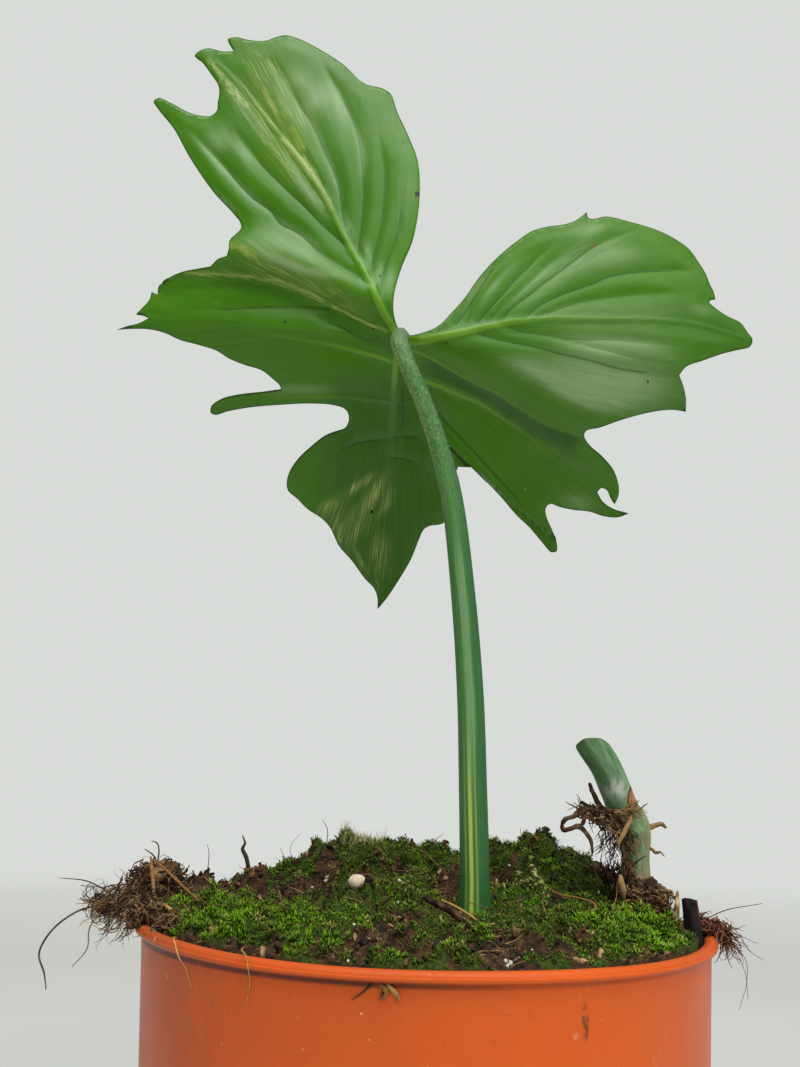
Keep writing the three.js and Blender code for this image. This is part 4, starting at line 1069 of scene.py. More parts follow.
class PLANT_OT_leaf(bpy.types.Operator):
    """Cuts the leaf blade from its drawn margin, raises its ribs and sets its lobes back"""

    bl_idname = "plant.leaf"
    bl_label = "Leaf blade"

    def execute(self, context):
        leaf = context.scene.plant_leaf
        flat, faces = self.fill_margin(leaf.spacing / MM)
        edges = {(f[k], f[(k + 1) % 3]) for f in faces for k in range(3)}
        front, back, marks = self.read_lines(leaf, flat)
        middle, normals, half = blade_points(flat), underside_normals(flat), leaf.thickness / MM / 2
        points = np.vstack(
            [middle + normals * (half + front)[:, None], middle - normals * (half - back)[:, None]]
        )
        count = len(flat)
        skins = faces + [tuple(count + n for n in reversed(f)) for f in faces]
        skins += [(b, a, count + a, count + b) for a, b in sorted(edges) if (b, a) not in edges]
        blade = mesh_piece("blade", points, skins)
        for name, values in marks.items():
            mark(blade, name, np.concatenate([values, values]))
        layer = blade.data.uv_layers.new(name="drawing")
        corners = np.empty(len(blade.data.loops), np.int32)
        blade.data.loops.foreach_get("vertex_index", corners)
        layer.data.foreach_set("uv", (flat[corners % count] / DRAWING_WIDTH + 0.5).astype(np.float32).ravel())
        under, upper = leaf_finish(leaf, "leaf underside", 0.0), leaf_finish(leaf, "leaf upperside", 1.0)
        settle(blade, "blade", "leaf", "leaf_blade", under, upper)
        sides = np.zeros(len(skins), np.int32)
        sides[len(faces) : 2 * len(faces)] = 1
        blade.data.polygons.foreach_set("material_index", sides)
        return {"FINISHED"}

    def fill_margin(self, spacing):
        """Flat points and triangles of the blade, with rows of points along its lines."""
        margin = np.vstack([curve_points(drawn(stretch), 0.9 * spacing)[:-1] for stretch in MARGIN])
        wanted = []
        for line in (*[line for *_, line in RIBS.values()], *SIDE_VEINS, LEFT_FOLD, RIGHT_RIDGE):
            row = curve_points(drawn(line), 0.8 * spacing)
            run = unit(np.gradient(row, axis=0))
            left = np.stack([-run[:, 1], run[:, 0]], axis=1)
            for offset in (0, -0.62, 0.62, -1.24, 1.24):
                wanted += list(row + left * offset * spacing)
        low, high = margin.min(axis=0), margin.max(axis=0)
        tall = spacing * math.sqrt(0.75)
        for j in range(int((high[1] - low[1]) / tall) + 1):
            for i in range(int((high[0] - low[0]) / spacing) + 1):
                wanted.append((low[0] + (i + j % 2 / 2) * spacing, low[1] + j * tall))
        wanted = np.array(wanted)
        wanted = wanted[inside(wanted, margin)]
        wanted = wanted[nearest(wanted, np.vstack([margin, margin[:1]]))[0] > 0.45 * spacing]
        return filled(margin, spaced_out(wanted, 0.52 * spacing))

    def read_lines(self, leaf, flat):
        """The relief over and under the blade, and the numbers that its finish reads."""
        rib_ratio, rib_gap = np.full(len(flat), 9.0), np.full(len(flat), 99.0)
        rib_height, rib_tone = np.zeros(len(flat)), np.zeros(len(flat))
        for heights, halves, tones, line in RIBS.values():
            distance, along, _ = nearest(flat, fine(line))
            width = mix(*halves, along) * np.where(along >= 1, 0.3, 1)
            rib_tone = np.where(distance / width < rib_ratio, mix(*tones, along), rib_tone)
            rib_ratio = np.minimum(rib_ratio, distance / width)
            rib_height = np.maximum(
                rib_height, mix(*heights, along) * bell(distance, 1.1 * mix(*halves, along))
            )
            rib_gap = np.minimum(rib_gap, distance)
        vein_gap, vein_depth = np.full(len(flat), 99.0), np.zeros(len(flat))
        for i, line in enumerate(SIDE_VEINS):
            distance, along, _ = nearest(flat, fine(line))
            fade = smooth((1 - along) / 0.3 + 0.1)
            depth = (1.7 if i in DEEP_VEINS else 1.0) * fade * bell(distance, 0.75)
            vein_gap = np.minimum(vein_gap, distance + (1 - fade) * 3 + (0.2 if i in FAINT_VEINS else 0))
            vein_depth = np.maximum(vein_depth, depth)
        x, y = flat[:, 0], flat[:, 1]
        reach = length_of(flat)
        edge = nearest(flat, np.vstack([drawn(s)[:-1] for s in MARGIN] + [drawn(MARGIN[0])[:1]]))[0]
        clear = smooth((reach - 2.8) / 2.5)
        waves = 0.3 * ripple(flat, 16, 3) * smooth(edge / 3) + 0.012 * ripple(flat, 3.5, 5)
        puff = leaf.puff / MM * smooth(np.minimum(vein_gap, rib_gap) / 4.5) * smooth(edge / 4)
        crease = leaf.crease / MM * vein_depth
        front = clear * (rib_height + puff + waves - crease)
        back = np.minimum(clear * (puff + waves - crease * 1.2 - 0.25 * rib_height), front)
        cream, _, stroke, grain = strokes_over(flat, CREAM_STROKES)
        ridge, along, ridge_side = nearest(flat, fine(RIGHT_RIDGE))
        fold, _, fold_side = nearest(flat, fine(LEFT_FOLD))
        # Painted shade: a dark band under the right ridge, and dark bands under and over the left fold, where the
        # blade turns away from the light
        below = -ridge * ridge_side - 1.1
        shade = 0.9 * bell(np.where(below < 0, below * 1.6, below * (0.62 - 0.3 * along)), 1.3)
        shade = shade * smooth(along * 6) * smooth((1 - along) * 9) * smooth(x / 6)
        shade_under_fold = np.where((fold_side < 0) & (x < 0), 0.3 * bell(fold, 3), 0)
        shade_over_fold = np.where((fold_side > 0) & (x < 0), 0.45 * bell(fold - 2.6, 1.8), 0)
        # Painted shade: the blade darkens from the knuckle down, most on the end lobe and less on the side lobes,
        # which hang away from the light
        lobes = smooth((4 - y) / 24) * (0.35 + 0.65 * smooth((20 - np.abs(x + 4)) / 12))
        marks = {
            "rib": rib_ratio, "rib_tone": rib_tone, "vein": vein_gap, "edge": edge, "cream": cream,
            "yellow": np.array([row[0] for row in CREAM_STROKES])[stroke],
            "grain_across": grain[0], "grain_along": grain[1],
            # Painted sheen: pale highlight strokes
            "painted_sheen": strokes_over(flat, PAINTED_SHEEN_STROKES, run_out=0.4)[1],
            "veil": strokes_over(flat, VEILS, run_out=0.3)[1],
            "shade": np.maximum(shade, np.maximum(shade_under_fold, shade_over_fold)),
            "heading": (np.arctan2(y, x) - 0.96) % TURN, "reach": reach,
            # Painted shade of the lower lobes
            "painted_lobe_shade": np.maximum(lobes, 0.3 * smooth((14 - y) / 10)),
        }
        return front, back, marks


def leaf_finish(leaf, name, over):
    """Waxy skin with pale ribs, cream strokes and fine lines at the veins; over is 1 for the upper side."""
    f = Finish(name, 0.34, 0.21)
    drawing = f.map("drawing")
    vein, painted_lobe_shade, edge, cream = (f.mark(key) for key in ("vein", "painted_lobe_shade", "edge", "cream"))

    def streaks(across, scale_across, along, scale_along, detail, rough):
        """Clouds drawn out into lines along one of the blade's own directions."""
        lines = f.vector(f.times(f.mark(across), scale_across), f.times(f.mark(along), scale_along))
        return f.clouds(lines, 1.0, detail, rough)

    fan = streaks("heading", 46, "reach", 0.09, 4, 0.65)
    threads = streaks("grain_across", 3.4, "grain_along", 0.3, 5, 0.7)
    hairline = streaks("heading", 150, "reach", 0.07, 3, 0.6)
    cells = f.add("TexVoronoi", {"Vector": drawing, "Scale": 520}, feature="DISTANCE_TO_EDGE").outputs[0]
    # Painted shade: the green darkens from the lit ears to the end lobe, which hangs away from the light
    f.colour = f.blend(f.steps(painted_lobe_shade, 0, 1), leaf.bright, leaf.painted_lobe_shade)
    f.layer(f.steps(f.clouds(f.place, 30, 2), 0.32, 0.68, 0, 0.4), leaf.middle)
    f.layer(f.steps(fan, 0.4, 0.75, 0, 0.2), (104, 150, 40))
    f.layer(f.steps(fan, 0.5, 0.25, 0, 0.25), leaf.middle)
    f.layer(f.steps(cells, 0.0, 0.1, 0.07, 0.0), leaf.dark)
    # Painted shade along the right ridge and the left fold
    f.layer(f.steps(f.mark("shade"), 0, 1, 0, 0.7), (22, 70, 12))
    # Painted sheen: pale highlight strokes on the underside only
    f.layer(f.times(f.mark("painted_sheen"), f.steps(fan, 0.25, 0.65, 0.7, 1.0), 0.6 * (1 - over)), leaf.pale)
    # Dark side veins: partly their own darker green, partly painted shade in their creases
    f.layer(f.steps(vein, 0.1, 0.45, 0.5, 0.0), leaf.dark)
    ragged = f.plus(cream, f.times(f.maths("SUBTRACT", threads, 0.5), 2.6))
    ragged = f.times(f.steps(ragged, 0.25, 1.1), f.steps(cream, 0.03, 0.4), 0.85)
    f.layer(ragged, f.blend(f.mark("yellow"), leaf.cream, leaf.lime))
    veil = f.times(f.mark("veil"), f.steps(hairline, 0.5, 0.68, 0.12, 0.8), 1 - 0.4 * over)
    f.layer(veil, f.blend(hairline, leaf.lime, leaf.cream))
    rib = f.times(f.steps(f.mark("rib"), 0.7, 1.25, 1.0, 0.0), f.steps(f.mark("rib_tone"), 0.0, 1.0))
    # The pale ribs turn greyer inside the painted shade of the end lobe
    f.layer(rib, f.blend(f.steps(painted_lobe_shade, 0.5, 1.0), leaf.rib, (84, 122, 66)))
    f.layer(f.steps(edge, 0.1, 0.3, 0.7, 0), leaf.edge)
    for x, y, size, colour in SPOTS if over == 0 else ():
        x, y, size = (value * DRAWING_UNIT / DRAWING_WIDTH for value in (x, y, size))
        f.layer(f.spot(drawing, (x + 0.5, y + 0.5, 0), (size * 0.8, size, 1)), colour)
    rough = f.steps(f.clouds(f.place, 170, 4), 0.3, 0.7, 0.31 - 0.06 * over, 0.39 - 0.06 * over)
    rough = f.maths("MAXIMUM", rough, f.steps(edge, 0.1, 0.5, 0.85, 0.3))
    return f.done(f.plus(f.times(fan, 0.7), f.times(cells, 0.5)), 0.00005, 0.3, Roughness=rough)


STALK = [
    (9.9, -14.8, 74.8, 3.4), (9.9, -15, 88, 3.9), (9.9, -15, 97.3, 3.35), (9.9, -15.5, 104, 3.05),
    (9.5, -16.8, 122, 2.95), (9, -18, 139.5, 2.88), (7.6, -20.2, 158.5, 2.72), (4.6, -23, 183.5, 2.45),
    (1.7, -24, 195.4, 2.25), (-2.5, -25.1, 207.7, 2.05), (-6.1, -25.4, 216.4, 2.0), (-8.3, -23.4, 224, 2.15),
    (-8.2, -19.6, 228, 2.3), (-8.2, -17.4, 229.4, 2.1),
]


class PLANT_OT_stalk(bpy.types.Operator):
    """Grows the leaf stalk from the buried vine up to the knuckle under the blade"""

    bl_idname = "plant.stalk"
    bl_label = "Leaf stalk"

    def execute(self, context):
        stalk = context.scene.plant_stalk

        def skin(station, angles, centre):
            """Low ridges along the stalk, rougher and lumpier towards the knuckle."""
            high = smooth((centre[2] - 165) / 50)
            ridges = 0.012 * np.sin(angles * 9 + 0.02 * centre[2]) + 0.01 * np.sin(angles * 15 + 2)
            place = np.stack([angles * 2, np.full_like(angles, centre[2] * 0.55)], axis=1)
            return 1 + (0.4 + high) * ridges + 0.028 * high * ripple(place, 0.8, 12)

        piece = tube_piece("stalk", STALK, stalk.sides, step=0.7, shape=skin, tip=0.8)
        settle(piece, "stalk", "petiole_skin", "petiole", self.finish(stalk))
        return {"FINISHED"}

    def finish(self, stalk):
        f = Finish("stalk skin", 0.36, 0.45)
        height = f.axes(f.place)[2]
        wander = f.times(f.maths("SUBTRACT", f.clouds(f.place, 60, 2), 0.5), 0.02)
        turn = f.plus(f.axes(f.map("along"))[0], wander)
        lines = f.fine_lines(60.0, 0.05)
        f.colour = f.blend(lines, stalk.dark, stalk.colour)
        # Painted shade: a darker green down the right side of the stalk, and fainter down its left flank
        f.layer(f.steps(turn, 0.5, 0.58, 0, 0.65), stalk.blue)
        f.layer(f.steps(turn, 0.38, 0.33, 0, 0.4), stalk.blue)
        low = f.steps(height, 0.142, 0.112)
        # The middle band halfway up carries a painted highlight
        middle = f.times(f.steps(height, 0.115, 0.14), f.steps(height, 0.185, 0.16))
        # Stripes along the front: the place round the stalk, half width, where, share and colour; the last one,
        # in the middle band, is a painted highlight
        for at, half, where, share, colour in (
            (0.45, 0.06, low, 0.6, (86, 128, 48)), (0.389, 0.011, low, 0.6, stalk.light),
            (0.511, 0.012, low, 0.5, stalk.light), (0.45, 0.023, low, 0.95, stalk.stripe),
            (0.475, 0.06, middle, 0.5, (140, 178, 128)),
        ):
            f.layer(f.times(f.steps(f.gap(turn, at), half * 0.5, half * 1.2, 1.0, 0.0), where, share), colour)
        rough_at = f.steps(height, 0.165, 0.212)
        scurf = f.clouds(f.stretched(1, 1, 0.22), 4200, 3, 0.7)
        flakes = f.times(f.steps(scurf, 0.5, 0.58), rough_at)
        f.layer(f.times(flakes, 0.55), stalk.light)
        f.layer(f.times(f.steps(turn, 0.4, 0.3), f.steps(scurf, 0.42, 0.55), rough_at, 0.7), (176, 186, 104))
        f.layer(f.times(f.steps(scurf, 0.46, 0.36), rough_at, 0.4), (28, 92, 22))
        f.layer(f.times(f.steps(height, 0.2225, 0.2265), 0.6), (104, 128, 92))
        f.layer(f.times(f.specks(f.stretched(1, 1, 0.5), 420, 0.13), 0.85), (92, 66, 36))
        f.layer(f.times(f.specks(f.place, 800, 0.1), 0.7), (190, 206, 170))
        return f.done(f.plus(lines, f.times(flakes, 2.0)), 0.0001, 0.6)


class PLANT_OT_pot(bpy.types.Operator):
    """Turns the tapered plastic pot with its rolled rim and drain holes"""

    bl_idname = "plant.pot"
    bl_label = "Pot"

    def execute(self, context):
        pot = context.scene.plant_pot
        piece = self.raise_shell(pot)
        self.drill_floor(pot, piece)
        self.warp_rim(pot, piece)
        pick(piece)
        bpy.ops.object.shade_smooth_by_angle(angle=math.radians(50))
        settle(piece, "pot_shell", "pot_plastic", "pot", self.finish(pot))
        return {"FINISHED"}

    def profile(self, pot):
        """Radius and height in millimetres, from the underside out and over the rim and back in."""
        sizes = (pot.height, pot.rim_radius, pot.base_radius, pot.wall, pot.floor, pot.rim_band, pot.rim_lip)
        height, rim, base, wall, floor, band, lip = (size / MM for size in sizes)
        foot, top, brim = height - band, rim - lip, height - 0.4

        def outer(z):
            return base + (top - base) * z / foot

        inner = outer(foot) - wall
        return [
            (base - 6, 0), (base - 1.6, 0), (base - 0.5, 0.4), (base, 1.5),
            *[(outer(z), z) for z in np.linspace(8, foot - 1.2, 9)],
            # The rolled rim
            (top - 0.05, foot - 0.35), (top + 0.15, foot), (rim - 0.5, foot + 0.05),
            (rim - 0.12, foot + 0.35),
            (rim, foot + 0.6), (rim, brim - 0.95), (rim - 0.26, brim - 0.82), (rim - 0.3, brim - 0.55),
            (rim - 0.62, brim - 0.14), (rim - 1.1, brim), (inner + 0.9, brim - 0.02),
            (inner + 0.35, brim - 0.3), (inner + 0.1, brim - 1.0),
            *[(outer(z) - wall, z) for z in np.linspace(foot - 3, 5, 8)],
            (outer(floor) - wall - 0.4, 2.6), (outer(floor) - wall - 1.6, floor), (8, floor),
        ]

    def raise_shell(self, pot):
        """A disc grown ring by ring with extrude, move and scale, then closed over the floor."""
        rings = [(r * MM, z * MM) for r, z in self.profile(pot)]
        select_none()
        bpy.ops.mesh.primitive_circle_add(vertices=pot.sides, radius=rings[0][0], fill_type="NGON")
        piece = bpy.context.object
        bpy.ops.object.mode_set(mode="EDIT")
        bpy.ops.mesh.select_mode(type="EDGE")
        bpy.ops.mesh.select_all(action="SELECT")
        bpy.ops.mesh.region_to_loop()
        for (r, z), (next_r, next_z) in zip(rings, rings[1:]):
            bpy.ops.mesh.extrude_edges_move(TRANSFORM_OT_translate={"value": (0, 0, next_z - z)})
            bpy.ops.transform.resize(
                value=(next_r / r, next_r / r, 1), center_override=(0, 0, next_z), orient_type="GLOBAL"
            )
        bpy.ops.mesh.edge_face_add()
        bpy.ops.mesh.select_all(action="SELECT")
        bpy.ops.mesh.normals_make_consistent(inside=False)
        bpy.ops.object.mode_set(mode="OBJECT")
        return piece

    def drill_floor(self, pot, piece):
        holes, circle = 8, 33 * MM
        for i in range(holes):
            place = circle * round_about((i + 0.5) / holes * TURN)
            select_none()
            bpy.ops.mesh.primitive_cylinder_add(
                vertices=28, radius=pot.drain_radius, depth=6 * pot.floor, location=(*place, pot.floor / 2)
            )
            drill = bpy.context.object
            pick(piece)
            cut = piece.modifiers.new("Drain hole", "BOOLEAN")
            cut.object, cut.operation, cut.solver = drill, "DIFFERENCE", "EXACT"
            bpy.ops.object.modifier_apply(modifier=cut.name)
            bpy.data.objects.remove(drill)

    def warp_rim(self, pot, piece):
        """The thin rim is not quite flat or round."""
        for vertex in piece.data.vertices:
            x, y, z = vertex.co
            high = smooth((z / pot.height - 0.5) * 2)
            angle = math.atan2(y, x)
            vertex.co.z += 0.3 * MM * high * (math.sin(2 * angle + 0.6) + 0.5 * math.sin(5 * angle + 2))
            swell = 1 + 0.0035 * high * math.sin(3 * angle + 1.1)
            vertex.co.x *= swell
            vertex.co.y *= swell

    def finish(self, pot):
        f = Finish("pot plastic", 0.42, 0.24, pot.colour)
        side, _, height = f.axes(f.place)
        slow = f.clouds(f.place, 22, 4, 0.6)
        smear = f.clouds(f.stretched(1, 1, 0.4), 90, 5, 0.7, 0.6)
        scuffs = f.clouds(f.place, 210, 6, 0.75, 0.5)
        f.layer(f.steps(slow, 0.45, 0.8, 0, 0.4), pot.shade)
        # Towards the left side the plastic turns dull brown, partly a brownish film and partly painted shade;
        # towards the right side it turns a darker orange, which is painted shade
        f.layer(f.times(f.steps(side, -0.02, -0.05), f.steps(smear, 0.3, 0.6, 0.55, 1.0), 0.5), (140, 74, 46))
        f.layer(f.times(f.steps(side, 0.03, 0.055), f.steps(smear, 0.3, 0.6, 0.4, 1.0), 0.4), (170, 78, 34))
        f.layer(f.steps(scuffs, 0.6, 0.76, 0, 0.5), pot.dust)
        f.layer(f.steps(f.clouds(f.place, 95, 6, 0.75, 0.4), 0.6, 0.74, 0, 0.5), (132, 66, 36))
        # Specks: scale, amount, share and colour
        for scale, amount, share, colour in (
            (150, 0.16, 0.4, (226, 164, 122)), (330, 0.24, 0.7, (228, 178, 134)),
            (820, 0.22, 0.7, (232, 190, 150)),
            (260, 0.1, 0.6, (120, 58, 34)), (900, 0.2, 0.7, (92, 50, 34)),
        ):
            f.layer(f.times(f.specks(f.place, scale, amount), f.steps(scuffs, 0.35, 0.55), share), colour)
        smudge = f.spot(f.place, (0.0229, -0.0537, 0.087), (0.0008, 0.004, 0.0034))
        f.layer(f.times(smudge, f.steps(f.clouds(f.place, 900, 3), 0.4, 0.55, 0.1, 0.8)), (92, 54, 38))
        # Painted shadow of the lip, with some soil in it: a dark line in the corner just under the rim band,
        # strongest on the left side
        under = f.steps(f.gap(height, pot.height - pot.rim_band - 0.0003), 0.0002, 0.0008, 1.0, 0.0)
        left = f.steps(side, -0.012, 0.02, 0.9, 0.3)
        f.layer(f.times(under, f.steps(smear, 0.2, 0.5, 0.5, 1.0), left), (84, 36, 22))
        height = f.plus(f.clouds(f.place, 1400, 2), f.times(scuffs, 2.0))
        return f.done(height, 0.00006, 0.4, Roughness=f.steps(slow, 0.3, 0.7, 0.36, 0.5))


MOSS_RADIUS = 56.9
# Moss cushions over the root ball: x, y, height, width
CUSHIONS = [
    (-18, 25, 13.5, 13), (30, 15, 14, 10), (44, 18, 9, 7), (-52, 9, 7, 7), (-38, 6, 6, 4.5),
    (-15, -3, 5, 8), (39, -22, 1.6, 9), (-31, -35, 1.8, 10), (2, 26, 11, 11), (20, 24, 10.5, 9),
    (-32, 24, 2.5, 7), (-4, -30, 1.2, 9),
    (50, 2, 2.2, 6), (-45, -12, 2.5, 7), (-44, 24, 4, 9), (14, 44, 2.5, 9), (20, -8, 1.2, 8),
]
# Patches of living moss: x, y, width, brightness
GREEN_PATCHES = [
    (-44, -18, 9, 0.75), (-30, -37, 11, 0.8), (-18, 22, 11, 0.35), (-13, -9, 6, 0.2), (3, 25, 10, 0.5),
    (33, 9, 12, 0.45), (38, -27, 9.5, 1.0), (50, -25, 6, 0.6), (-46, -6, 6, 0.6), (-4, 6, 8, 0.55),
    (16, -30, 9, 0.35), (22, 2, 6, 0.7), (-36, 24, 7, 0.5), (12, 46, 9, 0.5), (-20, -26, 8, 0.4),
    (28, 36, 9, 0.5), (-6, 40, 8, 0.5), (44, -10, 6, 0.7),
]
# Bare patches of soil and litter: x, y, width
BARE_PATCHES = [
    (-42.8, 1.5, 4), (-24, 10.5, 5.5), (-9, -48, 4.5), (13, -46, 4), (3.6, -47, 2.5), (5, -18, 3),
    (-4.4, -32.5, 2.5), (-27, -46, 3), (51, -3, 7), (-2, 31, 4), (7, 28.5, 2.5), (-37, 26, 4),
    (-49, 21, 3.5), (-30, 33, 7), (44, 17, 4), (-52, 9, 6),
    (6, 12, 4), (-52, -22, 4),
]


def flat_places(x, y):
    return np.stack([x, y], axis=-1).reshape(-1, 2)


def moss_top(x, y):
    """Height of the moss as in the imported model."""
    rise = sum(h * bell(np.hypot(x - cx, y - cy), w) for cx, cy, h, w in CUSHIONS)
    rise = np.where(rise > 9, 9 + (rise - 9) * 0.72, rise)
    return 96.2 - 1.6 * smooth((np.hypot(x, y) - 40) / 17) + rise


def greenness(x, y):
    """How mossy a place is, below nought on bare soil, and how bright its moss is."""
    at = flat_places(x, y)
    value = 0.1 + 0.4 * ripple(at, 5.5, 21) + 0.34 * ripple(at, 2.2, 22)
    bright, weight = np.full(len(at), 0.45 * 0.15), np.full(len(at), 0.15)
    for cx, cy, width, tone in GREEN_PATCHES:
        near = bell(length_of(at - (cx, cy)), width)
        value = value + 0.75 * near
        bright, weight = bright + tone * near, weight + near
    for cx, cy, width in BARE_PATCHES:
        value = value - 1.3 * bell(length_of(at - (cx, cy)), width)
    return value.reshape(np.shape(x)), (bright / weight).reshape(np.shape(x))


def bed_top(x, y):
    """Height of the bed with its clods and hollows."""
    at = flat_places(x, y)
    clods = 1.25 * ripple(at, 5, 31) + 0.95 * ripple(at, 2.4, 32) + 0.35 * ripple(at, 1.1, 33)
    mossy = greenness(x, y)[0]
    swell = 0.9 * smooth(mossy / 0.6) - 0.9 * smooth(-mossy / 0.8)
    rim = smooth((MOSS_RADIUS - np.hypot(x, y)) / 4)
    return moss_top(x, y) + (clods.reshape(np.shape(x)) + swell) * (0.35 + 0.65 * rim)


def bed_normals(x, y):
    h = 0.5
    slope_x = (bed_top(x + h, y) - bed_top(x - h, y)) / (2 * h)
    slope_y = (bed_top(x, y + h) - bed_top(x, y - h)) / (2 * h)
    return unit(np.stack([-slope_x, -slope_y, np.ones_like(slope_x)], axis=-1))


def over_bed(dice, count, radius=55.8):
    """Places spread evenly over the bed."""
    r, angle = radius * np.sqrt(dice.random(count)), dice.uniform(0, TURN, count)
    return r * np.cos(angle), r * np.sin(angle)


class PLANT_OT_filling(bpy.types.Operator):
    """Gives the soil its finish and lays the uneven bed of moss and litter over it"""

    bl_idname = "plant.filling"
    bl_label = "Soil and moss bed"

    def execute(self, context):
        filling = context.scene.plant_filling
        dress(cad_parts["soil"], self.finish(filling, "potting soil"))
        settle(self.lay_bed(filling), "moss_bed", "moss", "moss", self.finish(filling, "mossy soil"))
        return {"FINISHED"}

    def lay_bed(self, filling):
        spacing = filling.spacing / MM
        turns = np.arange(round(TURN * MOSS_RADIUS / spacing)) * spacing / MOSS_RADIUS
        turns = turns * TURN / (turns[-1] + turns[1])
        edge = MOSS_RADIUS * np.stack([np.cos(turns), np.sin(turns)], axis=1)
        rows = int(2 * MOSS_RADIUS / spacing)
        grid = [(-MOSS_RADIUS + (i + j % 2 / 2) * spacing, -MOSS_RADIUS + j * spacing * 0.866)
                for j in range(int(rows / 0.866) + 1) for i in range(rows + 1)]
        flat, faces = filled(edge, [p for p in grid if math.hypot(*p) < MOSS_RADIUS - 0.6 * spacing])
        top = np.column_stack([flat, bed_top(*flat.T)])
        count, lower = len(edge), len(top)
        low = np.column_stack([edge * 0.985, np.full(count, 88.5)])
        middle = lower + count
        for i in range(count):
            n = (i + 1) % count
            faces += [(n, i, lower + i, lower + n), (lower + n, lower + i, middle)]
        piece = mesh_piece("moss_bed", np.vstack([top, low, [(0, 0, 88.5)]]), faces)
        for name, values in zip(("mossy", "tone"), greenness(*flat.T)):
            mark(piece, name, np.concatenate([values, np.full(count + 1, -1.0)]))
        return piece

    def finish(self, filling, name):
        """Dark peat with paler fibres and grains, and green where moss grows on it."""
        f = Finish(name, 0.9, 0.25)
        coarse, fine_grain = f.clouds(f.place, 420, 5, 0.65), f.clouds(f.place, 1700, 4, 0.7)
        f.colour = f.blend(f.steps(coarse, 0.35, 0.7), filling.soil, filling.peat)
        f.layer(f.steps(fine_grain, 0.56, 0.72, 0, 0.8), filling.litter)
        under = f.blend(f.steps(fine_grain, 0.3, 0.7), (28, 38, 10), (76, 96, 26))
        f.layer(f.steps(f.mark("mossy"), 0.1, 0.4), under)
        return f.done(f.plus(coarse, f.times(fine_grain, 0.6)), 0.0006, 0.9)


